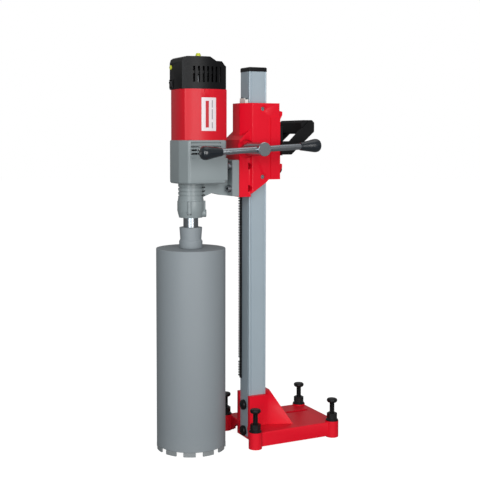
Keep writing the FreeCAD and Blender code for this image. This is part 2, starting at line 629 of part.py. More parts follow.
def feed_handle():
    """Pinion and shaft, the hub on its end, the cross bar and its two knobs."""
    y, z = pinion_y(), "pinion_z"
    centre = Vector(num("rack_x - pinion_face / 2"), num(y), num(z))
    teeth, module = num("pinion_teeth"), num("rack_module")
    shape = gear(teeth, module, num("pinion_face"), num("shaft_radius") - 0.01, turn=math.pi / 2)
    pinion = plain(shape)
    pinion.Placement = Placement(centre, TURN["X"])
    node("feed_pinion", pinion)
    reach = "hub_start + 20 - rack_x + pinion_face / 2 + 11"
    shaft = rod("shaft_radius - 0.01", reach, ("rack_x - pinion_face / 2 - 11", y, z), "X")
    collar = rod("shaft_radius + 2.4", "hub_start - carriage_half + pocket_depth - 0.8",
                 ("carriage_half - pocket_depth + 0.4", y, z), "X")
    node("feed_shaft", fuse(shaft, collar))
    hub = turned([(0, "20.2"), ("shaft_radius", "20.2"), ("shaft_radius", 0), ("hub_radius - 2", 0),
                  ("hub_radius", 2), ("hub_radius", "hub_end - hub_start - 1.2"),
                  ("hub_radius - 1.2", "hub_end - hub_start"), (0, "hub_end - hub_start")],
                 ("hub_start", y, z), "X")
    tilt = math.radians(num("bar_tilt"))
    along = Vector(0, math.cos(tilt), math.sin(tilt))
    middle = Vector(num("bar_x"), num(y), num(z))
    half, radius = num("bar_half"), num("bar_radius")
    bar = Part.makeCylinder(radius, 2 * half, middle - along * half, along)
    hole = plain(Part.makeCylinder(radius + 0.05, 60, middle - along * 30, along))
    node("handle_hub", cut(hub, hole))
    node("cross_bar", plain(bar))
    knobs = []
    for sign in (-1, 1):
        start = middle + along * sign * (half - num("knob_grip"))
        knobs.append(knob(start, along * sign))
    node("handle_knobs", together(*knobs))


def knob(start, direction):
    """A tapered grip swept round the bar's axis, hollow where the bar enters it."""
    long, wide, neck = num("knob_long"), num("knob_radius"), num("knob_neck")
    bore, deep = num("bar_radius") + 0.05, num("knob_grip")
    curve = Part.BSplineCurve()
    curve.interpolate([Vector(neck, 0, 0), Vector(wide * 0.83, 0, long * 0.45),
                       Vector(wide, 0, long * 0.76), Vector(wide * 0.8, 0, long * 0.95),
                       Vector(wide * 0.4, 0, long)])
    edges = [curve.toShape(), Part.makeLine(Vector(wide * 0.4, 0, long), Vector(0, 0, long)),
             Part.makeLine(Vector(0, 0, long), Vector(0, 0, deep)),
             Part.makeLine(Vector(0, 0, deep), Vector(bore, 0, deep)),
             Part.makeLine(Vector(bore, 0, deep), Vector(bore, 0, 0)),
             Part.makeLine(Vector(bore, 0, 0), Vector(neck, 0, 0))]
    shape = Part.Face(Part.Wire(edges)).revolve(Vector(), Vector(0, 0, 1), 360)
    obj = plain(shape)
    obj.Placement = Placement(start, Rotation(Vector(0, 0, 1), direction))
    return obj


# ---------------------------------------------------------------- drill housings
def gear_case_lower():
    plan = bow_outline("case_half", "case_front", "case_back")
    shell = extrusion("XY_Plane", plan, "case_split - case_foot", (0, 0, "case_foot"), rounding="8", foot="5")
    inner = extrusion("XY_Plane", bow_outline("case_half - case_wall", "case_front + case_wall",
                                              "case_back - case_wall"),
                      "case_split - case_foot", (0, 0, "case_foot + 17"), rounding="5")
    neck = rod("neck_radius", "case_foot - neck_foot + 10", (0, "spindle_y", "neck_foot"))
    rings = [cut(rod("neck_radius + 4", "3", (0, "spindle_y", z)),
                 rod("neck_radius - 2.2", "4", (0, "spindle_y", f"{z} - 0.5")))
             for z in ("neck_foot + 7", "neck_foot + 16", "neck_foot + 25")]
    flange = extrusion("YZ_Plane", bar_outline("-face_plane - flange_thick", "-face_plane", "flange_foot",
                                               "flange_top"),
                       "2 * flange_half", ("-flange_half", 0, 0), rounding="2")
    joint = "-face_plane - flange_thick + 2"
    arm = extrusion("YZ_Plane", [("case_back - 20", "case_foot + 4"), ("case_back + 6", "flange_foot + 12"),
                                 (joint, "flange_foot + 6"), (joint, "flange_top - 4"),
                                 ("case_back - 20", "case_split - 4")], "26", ("0 - 13", 0, 0))
    # the web's underside is an arch between the neck and the flange
    web = extrusion("YZ_Plane", [("spindle_y + 20", "neck_foot + 2"), ("case_back - 19", "flange_foot + 7.5"),
                                 ("case_back + 8", "flange_foot + 1.5"), (joint, "flange_foot"),
                                 (joint, "case_foot + 8"), ("spindle_y + 20", "case_foot + 8")],
                    "26", ("0 - 13", 0, 0))
    rim = extrusion("XY_Plane", bar_outline("-case_half - 1.2", "case_half + 1.2", "case_front + 14",
                                            "case_back + 1"),
                    "case_split - case_foot - 8", (0, 0, "case_foot + 8"), rounding="2", rim="1")
    seats = [rod("22 + seat", "9.2", (0, "spindle_y", "case_foot + 8")),
             rod("21 + seat", "10.2", (0, "spindle_y", "neck_foot + 6"))]
    x, y = idler_place()
    seats.append(rod("11 + seat", "9", (x, y, "case_foot + 10")))
    bore = rod("spindle_radius + 1.5", "120", (0, "spindle_y", "neck_foot - 5"))
    holes = [rod("flange_bolt_radius + 0.4", "flange_thick + 10",
                 (f"{sign} * flange_bolt_x", "-face_plane - flange_thick - 5", z), "Y")
             for sign in (-1, 1) for z in ("flange_bolt_low", "flange_bolt_high")]
    screws = [rod("2.6 + seat", "14", (px, py, "case_split - 13")) for px, py in case_screws()]
    whole = fuse(cut(fuse(shell, rim), inner), neck, flange, arm, web,
                 *case_posts("case_foot + 6", "case_split"))
    node("gear_case_lower", cut(whole, *rings, *seats, bore, *holes, *screws))


def case_screws():
    return [(f"{sx} * (case_half - 12)", y) for sx in (-1, 1)
            for y in ("case_front + 16", "case_back - 12")]


def case_posts(low, high):
    """Corner posts that take the housing screws."""
    return [rod("7", f"{high} - ({low})", (x, y, low)) for x, y in case_screws()]


def gear_case_upper():
    plan = bow_outline("case_half", "case_front", "case_back")
    tall = "plate_top - case_split - seat"
    shell = extrusion("XY_Plane", plan, tall, (0, 0, "case_split + seat"), rounding="8", rim="3")
    inner = extrusion("XY_Plane", bow_outline("case_half - case_wall", "case_front + case_wall",
                                              "case_back - case_wall"),
                      "plate_foot - case_split + 1", (0, 0, "case_split - 1"), rounding="5")
    x, y = idler_place()
    seats = [rod("11 + seat", "7.4", (x, y, "plate_foot - 0.4")),
             rod("16 + seat", "10", (0, "motor_y", "plate_top - 9"))]
    bores = [rod("7", "30", (0, "motor_y", "plate_foot - 5"))]
    slots = []
    for step in range(4):
        z = f"case_split + 8.5 + {step} * 8"
        for start in ("case_half - 4.6", "-case_half - 5.4"):
            slots.append(box("10", "74", "3.8", (start, "case_front + 17", z)))
    head = "plate_top - 3.6"
    screws = [rod("2.6 + seat", "60", (px, py, "case_split - 5")) for px, py in case_screws()]
    sinks = [rod("4.6", "10", (px, py, head)) for px, py in case_screws()]
    whole = fuse(cut(shell, inner), *case_posts("case_split + seat", "plate_top - 2"))
    node("gear_case_upper", cut(whole, *seats, *bores, *slots, *screws, *sinks))
    bolts = []
    for px, py in case_screws():
        bolts.append(fuse(rod("2.6", f"{head} - (case_split - 12)", (px, py, "case_split - 12")),
                          rod("4.4", "3.2", (px, py, head))))
    node("gear_case_screws", together(*bolts))


def side_cylinder(offset):
    """The cylinder whose surface is the motor's +X side, moved outward by the offset."""
    return rod(f"side_radius + ({offset})", "cap_top",
               ("motor_half - side_radius", "(motor_front + motor_back) / 2", 0))


def label_block(margin):
    return box("20", f"label_wide + 2 * ({margin})", f"label_tall + 2 * ({margin})",
               ("motor_half - 10", f"label_y - label_wide / 2 - ({margin})",
                f"label_z - label_tall / 2 - ({margin})"))


def motor_housing():
    tall = "cap_foot - motor_foot - seat"
    shell = crowned(extrusion("XY_Plane", bow_outline("motor_half + motor_skin", "case_front + 3", "motor_back + 1"),
                              tall, (0, 0, "motor_foot + seat"), rim="1.5"), "motor_skin")
    inner = crowned(extrusion("XY_Plane", bow_outline("motor_half + motor_skin", "case_front + 3 + motor_wall",
                                                      "motor_back + 1 - motor_wall"),
                              tall, (0, 0, "motor_foot + 10")), "motor_skin - motor_wall")
    neck = rod("20", "30", (0, "motor_y", "motor_foot - 5"))
    posts = [rod("5.8", "20", (x, y, "cap_foot - seat - 20")) for x, y in cap_screws()]
    taps = [rod("1.9 + seat", "14", (x, y, "cap_foot - 12")) for x, y in cap_screws()]
    recess = cut(label_block(0.3), side_cylinder("motor_skin - label_thick / 2"))
    node("motor_housing", cut(fuse(cut(shell, inner), *posts), neck, recess, *taps))


def label_plate():
    """A plain plate bent to the housing's side and sunk by half its thickness."""
    outer = common(label_block(0), side_cylinder("motor_skin + label_thick / 2"))
    node("label_plate", cut(outer, side_cylinder("motor_skin - label_thick / 2 + seat")))


def vent_places():
    return [f"vent_first + {index} * vent_pitch" for index in range(int(num("vent_count")))]


def motor_cap():
    tall = "cap_top - cap_foot"
    block = crowned(extrusion("XY_Plane", bar_outline("-motor_half", "motor_half", "motor_front", "motor_back"),
                              tall, (0, 0, "cap_foot")), 0)
    crown = extrusion("YZ_Plane", [("motor_front - 4", "cap_foot - 1"), ("motor_back + 4", "cap_foot - 1"),
                                   ("motor_back + 4", "cap_top - 22"), ("motor_back - 4", "cap_top - 17.5"),
                                   ("motor_back - 13", "cap_top - crown_drop"),
                                   ("motor_back - 29", "cap_top - crown_drop"), ("motor_back - 45", "cap_top"),
                                   ("motor_front + 10", "cap_top"), ("motor_front + 3", "cap_top - 4"),
                                   ("motor_front - 0.5", "cap_top - 13"), ("motor_front - 4", "cap_top - 24")],
                      "2 * motor_half + 8", ("-motor_half - 4", 0, 0))
    hollow = crowned(extrusion("XY_Plane", bar_outline("-motor_half", "motor_half", "motor_front + cap_wall",
                                                       "motor_back - cap_wall"),
                               f"{tall} - 20", (0, 0, "cap_foot - 1")), "0 - cap_wall")
    places = vent_places()
    vents = [box("20", "vent_wide", "vent_top - vent_foot", ("motor_half - 11", y, "vent_foot")) for y in places]
    # the power gland takes the middle of the other side
    vents += [box("20", "vent_wide", "vent_top - vent_foot", ("-motor_half - 9", y, "vent_foot"))
              for y in places[:3] + places[6:]]
    level = rod("bubble_radius + 0.2", "5", (0, "motor_y + 2", "cap_top - 4"))
    front = rod("bubble_radius - 0.8", "5", ("front_bubble_x", "motor_front - 1", "front_bubble_z"), "Y")
    switch = box("switch_side + 0.4", "switch_deep - 0.9", "switch_side + 0.4",
                 ("switch_x - switch_side / 2 - 0.2", "motor_front - 1", "switch_foot - 0.2"))
    gland = rod("7 + seat", "14", ("-motor_half - 4", "gland_y", "gland_z"), "X")
    corners = [rod("1.9 + seat", "20", (x, y, "cap_foot - 6")) for x, y in cap_screws()]
    heads = [rod("4.2", "70", (x, y, "cap_foot + 12")) for x, y in cap_screws()]
    posts = [rod("5.8", f"{tall} - 20", (x, y, "cap_foot")) for x, y in cap_screws()]
    whole = fuse(cut(common(block, crown), hollow), *posts)
    node("motor_cap", cut(whole, *vents, level, front, switch, gland, *corners, *heads))
    node("motor_cap_screws", together(*[
        fuse(rod("1.9", "22", (x, y, "cap_foot - 10")), rod("3.6", "3", (x, y, "cap_foot + 12")))
        for x, y in cap_screws()]))
    node("power_gland", cut(fuse(rod("7", "6", ("-motor_half", "gland_y", "gland_z"), "X"),
                                 rod("9", "8 - seat", ("-motor_half - 8", "gland_y", "gland_z"), "X")),
                            rod("4.2", "20", ("-motor_half - 9", "gland_y", "gland_z"), "X")))


def cap_screws():
    return [(f"{sx} * (motor_half - 15)", y) for sx in (-1, 1)
            for y in ("motor_front + 13", "motor_back - 13")]


def bubble_levels():
    """One on the crown for a plumb hole, one on the front for a level one."""
    wide, small = "bubble_radius", "bubble_radius - 1"
    node("bubble_levels", together(
        turned([(0, 0), (wide, 0), (wide, 9), ("bubble_radius - 2", 14.5), (0, 14.5)],
               (0, "motor_y + 2", "cap_top - 3.9")),
        turned([(0, 0), (small, 0), (small, 5), ("bubble_radius - 3", 6.6), (0, 6.6)],
               ("front_bubble_x", "motor_front + 3.9", "front_bubble_z"), "-Y")))


def power_switch():
    side, face = "switch_side", "motor_front - switch_proud"
    housing = cut(box(side, "switch_deep", side, ("switch_x - switch_side / 2", face, "switch_foot")),
                  box(f"{side} - 4.6", "switch_deep + 0.2", f"{side} - 4.6",
                      ("switch_x - switch_side / 2 + 2.3", f"{face} - 1", "switch_foot + 2.3")))
    node("switch_housing", housing)
    middle = "switch_foot + switch_side / 2"
    rocker = extrusion("YZ_Plane", [("motor_front + 5.5", f"{middle} - 7.2"), ("motor_front - 1.5", f"{middle} - 7.2"),
                                    ("motor_front - 3", middle), ("motor_front - 5.5", f"{middle} + 7.2"),
                                    ("motor_front + 5.5", f"{middle} + 7.2")], "14.4", ("switch_x - 7.2", 0, 0))
    reach = common(rocker, rod("7.5", "14.4", ("switch_x - 7.2", "motor_front + 2.5", middle), "X"))
    node("switch_rocker", reach)


def motor_inside():
    """Armature on its shaft, stator, fan, commutator, brushes and the two motor bearings."""
    y = "motor_y"
    node("armature_core", cut(rod("26", "60", (0, y, "732")), rod("5.51", "62", (0, y, "731"))))
    node("commutator", cut(rod("15", "20", (0, y, "798")), rod("5.51", "22", (0, y, "797"))))
    fan = [cut(rod("36", "2.5", (0, y, "716")), rod("5.51", "4", (0, y, "715")))]
    hub = cut(rod("10", "12", (0, y, "716")), rod("5.51", "14", (0, y, "715")))
    blades = []
    for index in range(8):
        blade = Part.makeBox(24, 1.6, 10, Vector(9.5, -0.8, 0))
        blade.rotate(Vector(), Vector(0, 0, 1), index * 45)
        blades.append(moved(blade, Vector(0, num(y), 718)))
    node("cooling_fan", fuse(*fan, hub, *blades))
    core = cut(rod("40", "62", (0, y, "731")), rod("27", "64", (0, y, "730")))
    node("stator", core)
    brushes = []
    for along, sign in (("X", 1), ("-X", -1)):
        brushes.append(rod("4", "15", (f"{sign} * 15.3", y, "806"), along))
    node("carbon_brushes", together(*brushes))
    # each holder ends against the arched inside of the housing
    holders = [cut(rod("6.5", "motor_half + motor_skin - motor_wall - 0.26 - 17", (f"{sign} * 17", y, "806"), along),
                   rod("4 + seat", "14.4", (f"{sign} * 16", y, "806"), along))
               for along, sign in (("X", 1), ("-X", -1))]
    node("brush_holders", together(*holders))
    node("motor_bearings", together(bearing(16, "5.5 + 0.01", 9, (0, y, "plate_top - 9")),
                                    bearing(13, "5.5 + 0.01", 8, (0, y, "850"))))
    bracket = cut(crowned(box("2 * motor_half", "motor_back - motor_front - 2 * cap_wall - 0.4", "6",
                              ("0 - motor_half", "motor_front + cap_wall + 0.2", "852")), "0 - cap_wall - 0.2"),
                  rod("13 + seat", "10", (0, y, "848")),
                  *[centred_box(18, 18, 10, (x, py, 850)) for x, py in cap_screws()])
    ring = cut(rod("17", "8", (0, y, "850")), rod("13 + seat", "10", (0, y, "849")))
    node("bearing_bracket", fuse(bracket, ring))


def bearing(outer, inner, wide, at):
    """A shielded ball bearing as one closed ring with its shield sunk in the upper face."""
    x, y, z = at
    ring = cut(rod(outer, wide, at), rod(inner, f"{wide} + 2", (x, y, f"{z} - 1")))
    groove = cut(rod(f"({outer}) - 2.2", "1", (x, y, f"{z} + {wide} - 0.6")),
                 rod(f"({inner}) + 2.2", "3", (x, y, f"{z} + {wide} - 1")))
    return cut(ring, groove)


def gear_train():
    x, y = idler_place()
    motor, spindle = num("motor_y"), num("spindle_y")
    fast, slow = num("fast_module"), num("slow_module")
    toward_motor = math.atan2(motor - y, -x)
    toward_spindle = math.atan2(spindle - y, -x)
    teeth = {name: num(f"{name}_teeth") for name in ("motor", "idler", "lay", "spindle")}
    pinion = moved(gear(teeth["motor"], fast, num("fast_gear_face"), 3, toward_motor + math.pi),
                   Vector(0, motor, num("fast_gear_foot")))
    shaft = rod("5.5", "cap_top - 30 - (plate_foot + 1)", (0, "motor_y", "plate_foot + 1"))
    nose = rod("3.9", "plate_foot + 1 - fast_gear_foot", (0, "motor_y", "fast_gear_foot"))
    node("armature_shaft", fuse(shaft, nose, pinion))
    node("reduction_gear", moved(gear(teeth["idler"], fast, num("fast_gear_face - 2"), 5.01,
                                      toward_motor + math.pi / teeth["idler"]),
                                 Vector(x, y, num("fast_gear_foot + 1"))))
    lay = moved(gear(teeth["lay"], slow, num("slow_gear_face"), 4, toward_spindle),
                Vector(x, y, num("slow_gear_foot")))
    node("spindle_gear", moved(gear(teeth["spindle"], slow, num("slow_gear_face - 2"), 14.01,
                                    toward_spindle + math.pi + math.pi / teeth["spindle"]),
                               Vector(0, spindle, num("slow_gear_foot + 1"))))
    low = "case_foot + 11"
    node("lay_shaft", fuse(rod("5", f"plate_foot + 6 - ({low})", (x, y, low)), lay))
    node("lay_bearings", together(bearing(11, "5 + 0.01", 7, (x, y, low)),
                                  bearing(11, "5 + 0.01", 6, (x, y, "plate_foot + 0.8"))))


def spindle():
    shaft = turned([("spindle_bore", 0), ("spindle_nose", 0), ("spindle_nose", "20"),
                    ("spindle_radius", "20"), ("spindle_radius", "62"), ("15", "62"), ("15", "120"),
                    ("14", "120"), ("14", "164"), ("spindle_bore", "164")],
                   (0, "spindle_y", "shoulder_foot - 20"))
    node("spindle", shaft)
    node("spindle_bearings", together(
        bearing(22, "15 + 0.01", 9, (0, "spindle_y", "case_foot + 8.1")),
        bearing(21, "15 + 0.01", 10, (0, "spindle_y", "neck_foot + 6.1"))))
    node("spindle_spacer", cut(rod("17", "9", (0, "spindle_y", "case_foot - 1")),
                               rod("15.01", "11", (0, "spindle_y", "case_foot - 2"))))


def water_collar():
    """Collar that feeds water to the turning spindle, with a threaded port that clears the column."""
    body = turned([("spindle_radius + running", "collar_foot"), ("collar_radius - 4", "collar_foot"),
                   ("collar_radius", "collar_foot + 16"), ("collar_radius", "neck_foot - 5"),
                   ("collar_radius - 1.5", "neck_foot - 3.5"), ("collar_radius - 1.5", "neck_foot - seat"),
                   ("24", "neck_foot - seat"), ("24", "neck_foot - 12"),
                   ("spindle_radius + running", "neck_foot - 12")], (0, "spindle_y", 0))
    level = "collar_foot + port_high"
    port = rod("port_boss", "collar_radius + 4.4", (0, "spindle_y", level), "port")
    ribs = [rod("rib_radius", f"neck_foot - 4 - ({low})",
                (f"(collar_radius - 2.6) * cos({turn})", f"spindle_y + (collar_radius - 2.6) * sin({turn})", low))
            for turn, low in (("rib_turn", level), ("port_turn", f"{level} + 7"))]
    bore = rod("spindle_radius + running", "80", (0, "spindle_y", "collar_foot - 10"))
    chamber = rod("24", "12", (0, "spindle_y", "neck_foot - 12"))
    duct = rod("4", "collar_radius", (0, "spindle_y", level), "port")
    reach = "(collar_radius + 4.4 - port_deep)"
    thread = rod("port_bore", "port_deep + 4",
                 (f"{reach} * cos(port_turn)", f"spindle_y + {reach} * sin(port_turn)", level), "port")
    pocket = rod("rib_radius - 0.6", "4", ("(collar_radius - 1) * cos(rib_turn)",
                                         "spindle_y + (collar_radius - 1) * sin(rib_turn)", f"{level} - 3.4"))
    node("water_collar", cut(fuse(body, port, *ribs), bore, chamber, duct, thread, pocket))
    node("shaft_seals", together(*[
        cut(rod("23.9", "5.6", (0, "spindle_y", z)),
            rod("spindle_radius + running", "8", (0, "spindle_y", f"{z} - 1")))
        for z in ("neck_foot - 12", "neck_foot - 6")]))


def flange_bolts():
    bolts = []
    for sign in (-1, 1):
        for z in ("flange_bolt_low", "flange_bolt_high"):
            at = (f"{sign} * flange_bolt_x", "-face_plane - flange_thick - seat", z)
            head = cut(rod("8", "8", at, "-Y"),
                       hexagon("4", "6", (at[0], f"{at[1]} - 8.1", z), "Y"))
            bolts.append(fuse(rod("flange_bolt_radius", "flange_thick + 20", at, "Y"), head))
    node("drill_mounting_bolts", together(*bolts))


def core_bit():
    hub = turned([("spindle_nose + 0.01", "bit_top + 26"), ("spindle_nose + 0.01", "shoulder_foot - 0.2"),
                  ("bit_hub_radius", "shoulder_foot - 0.2"), ("bit_hub_radius - 2", "bit_top + 20"),
                  ("bit_hub_radius + 0.6", "bit_top + 16"), ("bit_hub_radius + 0.6", "bit_top + 0.02"),
                  ("6", "bit_top + 0.02"), ("6", "bit_top + 26")], (0, "spindle_y", 0))
    node("bit_hub", hub)
    barrel = turned([("bit_radius - bit_wall", "segment_tall + 0.02"), ("bit_radius", "segment_tall + 0.02"),
                     ("bit_radius", "bit_top - 1"), ("bit_radius - 1", "bit_top"), ("6", "bit_top"),
                     ("6", "bit_top - bit_plate"), ("bit_radius - bit_wall", "bit_top - bit_plate")],
                    (0, "spindle_y", 0))
    node("bit_barrel", barrel)
    count = int(num("segment_count"))
    outer = num("bit_radius") + (num("segment_thick") - num("bit_wall")) / 2
    sweep = 360 / count - num("segment_gap")
    segments = []
    for index in range(count):
        ring = Part.makeCylinder(outer, num("segment_tall"), Vector(), Vector(0, 0, 1), sweep)
        ring = ring.cut(Part.makeCylinder(outer - num("segment_thick"), num("segment_tall") + 2, Vector(0, 0, -1)))
        ring.rotate(Vector(), Vector(0, 0, 1), index * 360 / count + num("segment_turn"))
        segments.append(moved(ring, Vector(0, num("spindle_y"), 0)))
    node("bit_segments", together(*segments))


# ---------------------------------------------------------------- build, check and write
def build():
    base_casting()
    levelling_screws()
    lock_nuts()
    column()
    end_cap()
    column_bolts()
    rack()
    carriage_casting()
    glide_pads()
    guide_screws()
    wiper()
    bushes()
    lock_screw()
    carry_handle()
    feed_handle()
    gear_case_lower()
    gear_case_upper()
    motor_housing()
    label_plate()
    motor_cap()
    bubble_levels()
    power_switch()
    motor_inside()
    gear_train()
    spindle()
    water_collar()
    flange_bolts()
    core_bit()


def check():
    """Stop with a message when any feature failed or any piece is not a sound solid."""
    doc.recompute()
    failed = [obj.Name for obj in doc.Objects if {"Invalid", "Error"} & set(obj.State)]
    if failed:
        raise RuntimeError(f"features that failed: {failed}")
    for name, obj in NODES.items():
        if obj.Shape.isNull() or not obj.Shape.isValid() or not obj.Shape.Solids:
            raise RuntimeError(f"{name} has no valid shape")


def write():
    os.makedirs("parts", exist_ok=True)
    for name, obj in NODES.items():
        obj.Shape.exportStep(f"parts/{name}.step")


build()
check()
write()
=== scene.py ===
# %% [markdown]
# # A core drill rig
#
# The rig is a cast base, a square alloy column with a rack, a carriage that a hand wheel of two arms
# drives up and down, and a drill motor that turns a thin-walled core bit. The mechanical model is
# loaded as a fixed frame. Everything here is the skin of that frame: clean rounded surfaces for the
# pieces that can be seen, and a finish for each material. All lengths are in metres.

# %% The frame and the tools
import json
import math

import bmesh
import bpy
import numpy as np
from mathutils import Matrix, Vector


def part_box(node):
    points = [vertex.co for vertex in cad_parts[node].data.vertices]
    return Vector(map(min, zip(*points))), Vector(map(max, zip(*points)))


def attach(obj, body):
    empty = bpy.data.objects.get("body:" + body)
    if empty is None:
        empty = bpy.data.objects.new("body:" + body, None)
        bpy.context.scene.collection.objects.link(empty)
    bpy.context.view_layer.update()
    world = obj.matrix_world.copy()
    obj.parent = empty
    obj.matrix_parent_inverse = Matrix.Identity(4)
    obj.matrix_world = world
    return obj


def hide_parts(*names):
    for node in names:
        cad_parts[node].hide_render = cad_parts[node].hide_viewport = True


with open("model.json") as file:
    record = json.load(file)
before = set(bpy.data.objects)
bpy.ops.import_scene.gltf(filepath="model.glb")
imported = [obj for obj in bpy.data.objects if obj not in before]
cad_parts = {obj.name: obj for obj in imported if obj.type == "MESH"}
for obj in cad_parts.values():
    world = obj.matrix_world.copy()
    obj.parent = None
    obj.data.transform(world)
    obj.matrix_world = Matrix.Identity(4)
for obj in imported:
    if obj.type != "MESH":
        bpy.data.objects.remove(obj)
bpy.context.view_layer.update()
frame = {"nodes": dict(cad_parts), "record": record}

body_of_node = {node: body for body, nodes in frame["record"]["behaviour"]["bodies"].items()
                for node in nodes}
slot_of_node = {entry["node"]: entry["material_slot"] for entry in frame["record"]["subparts"]}


# %% [markdown]
# ## Node groups for shared effects
#
# Cast, moulded and machined surfaces differ mostly in three things: how far their tone wanders, how
# coarse their grain is, and where dust settles. Each effect is built once as a node group with named
# inputs and placed in every material with its own numbers. They all read Object coordinates, so a
# pattern stays fixed to its piece, whatever pose the rig is in.

# %% A small helper for making node groups
def new_group(name, inputs, outputs):
    """An empty shader node group with named sockets; returns the tree, its input node and its output node."""
    tree = bpy.data.node_groups.new(name, "ShaderNodeTree")
    for label, kind, value in inputs:
        socket = tree.interface.new_socket(label, in_out="INPUT", socket_type=kind)
        socket.default_value = value
    for label, kind in outputs:
        tree.interface.new_socket(label, in_out="OUTPUT", socket_type=kind)
    return tree, tree.nodes.new("NodeGroupInput"), tree.nodes.new("NodeGroupOutput")


def scaled_coordinates(tree, scale_socket):
    """Object coordinates multiplied by a scale, in the tree of a group."""
    place = tree.nodes.new("ShaderNodeTexCoord")
    spread = tree.nodes.new("ShaderNodeVectorMath")
    spread.operation = "SCALE"
    tree.links.new(place.outputs["Object"], spread.inputs[0])
    tree.links.new(scale_socket, spread.inputs["Scale"])
    return spread.outputs[0]


FLOAT, COLOUR, NORMAL = "NodeSocketFloat", "NodeSocketColor", "NodeSocketVector"


# %% Tone: the colour wanders slightly, as paint and castings do
def build_tone_group():
    """Colour = mix(base, second, amount x soft noise)."""
    tree, entry, leave = new_group(
        "tone", [("Base", COLOUR, (0.5, 0.5, 0.5, 1)), ("Second", COLOUR, (0.4, 0.4, 0.4, 1)),
                 ("Scale", FLOAT, 20.0), ("Amount", FLOAT, 0.5)], [("Colour", COLOUR)])
    noise = tree.nodes.new("ShaderNodeTexNoise")
    noise.inputs["Detail"].default_value = 5.0
    noise.inputs["Scale"].default_value = 1.0
    tree.links.new(scaled_coordinates(tree, entry.outputs["Scale"]), noise.inputs["Vector"])
    share = tree.nodes.new("ShaderNodeMath")
    share.operation = "MULTIPLY"
    tree.links.new(noise.outputs["Fac"], share.inputs[0])
    tree.links.new(entry.outputs["Amount"], share.inputs[1])
    blend = tree.nodes.new("ShaderNodeMix")
    blend.data_type = "RGBA"
    tree.links.new(share.outputs[0], blend.inputs["Factor"])
    tree.links.new(entry.outputs["Base"], blend.inputs["A"])
    tree.links.new(entry.outputs["Second"], blend.inputs["B"])
    tree.links.new(blend.outputs["Result"], leave.inputs["Colour"])
    return tree


# %% Grain: the fine relief of a casting, a moulding or an orange-peel coat
def build_grain_group():
    """Normal = bump of noise with a given scale (per metre) and height (metres)."""
    tree, entry, leave = new_group("grain", [("Scale", FLOAT, 900.0), ("Height", FLOAT, 0.00005)],
                                   [("Normal", NORMAL), ("Fac", FLOAT)])
    noise = tree.nodes.new("ShaderNodeTexNoise")
    noise.inputs["Detail"].default_value = 3.0
    noise.inputs["Scale"].default_value = 1.0
    tree.links.new(scaled_coordinates(tree, entry.outputs["Scale"]), noise.inputs["Vector"])
    bump = tree.nodes.new("ShaderNodeBump")
    bump.inputs["Strength"].default_value = 0.6
    tree.links.new(entry.outputs["Height"], bump.inputs["Distance"])
    tree.links.new(noise.outputs["Fac"], bump.inputs["Height"])
    tree.links.new(bump.outputs["Normal"], leave.inputs["Normal"])
    tree.links.new(noise.outputs["Fac"], leave.inputs["Fac"])
    return tree


# %% Dust: pale concrete dust on upward faces and towards the floor
def build_dust_group():
    """Colour = mix(base, dust, amount x (upward-facing + nearness to the floor) x patchy noise)."""
    tree, entry, leave = new_group(
        "dust", [("Base", COLOUR, (0.5, 0.5, 0.5, 1)), ("Dust", COLOUR, (0.62, 0.60, 0.57, 1)),
                 ("Amount", FLOAT, 0.2), ("Reach", FLOAT, 0.12)], [("Colour", COLOUR), ("Mask", FLOAT)])
    place = tree.nodes.new("ShaderNodeTexCoord")
    split = tree.nodes.new("ShaderNodeSeparateXYZ")
    tree.links.new(place.outputs["Object"], split.inputs[0])
    low = tree.nodes.new("ShaderNodeMapRange")
    low.inputs["To Min"].default_value = 1.0
    low.inputs["To Max"].default_value = 0.0
    tree.links.new(split.outputs["Z"], low.inputs["Value"])
    tree.links.new(entry.outputs["Reach"], low.inputs["From Max"])
    facing = tree.nodes.new("ShaderNodeNewGeometry")
    up = tree.nodes.new("ShaderNodeSeparateXYZ")
    tree.links.new(facing.outputs["Normal"], up.inputs[0])
    top = tree.nodes.new("ShaderNodeMapRange")
    top.inputs["From Min"].default_value = 0.6
    top.inputs["To Max"].default_value = 0.5
    tree.links.new(up.outputs["Z"], top.inputs["Value"])
    both = tree.nodes.new("ShaderNodeMath")
    both.operation = "ADD"
    tree.links.new(low.outputs[0], both.inputs[0])
    tree.links.new(top.outputs[0], both.inputs[1])
    patch = tree.nodes.new("ShaderNodeTexNoise")
    patch.inputs["Scale"].default_value = 30.0
    patch.inputs["Detail"].default_value = 8.0
    tree.links.new(place.outputs["Object"], patch.inputs["Vector"])
    product = tree.nodes.new("ShaderNodeMath")
    product.operation = "MULTIPLY"
    tree.links.new(both.outputs[0], product.inputs[0])
    tree.links.new(patch.outputs["Fac"], product.inputs[1])
    amount = tree.nodes.new("ShaderNodeMath")
    amount.operation = "MULTIPLY"
    amount.use_clamp = True
    tree.links.new(product.outputs[0], amount.inputs[0])
    tree.links.new(entry.outputs["Amount"], amount.inputs[1])
    blend = tree.nodes.new("ShaderNodeMix")
    blend.data_type = "RGBA"
    tree.links.new(amount.outputs[0], blend.inputs["Factor"])
    tree.links.new(entry.outputs["Base"], blend.inputs["A"])
    tree.links.new(entry.outputs["Dust"], blend.inputs["B"])
    tree.links.new(blend.outputs["Result"], leave.inputs["Colour"])
    tree.links.new(amount.outputs[0], leave.inputs["Mask"])
    return tree


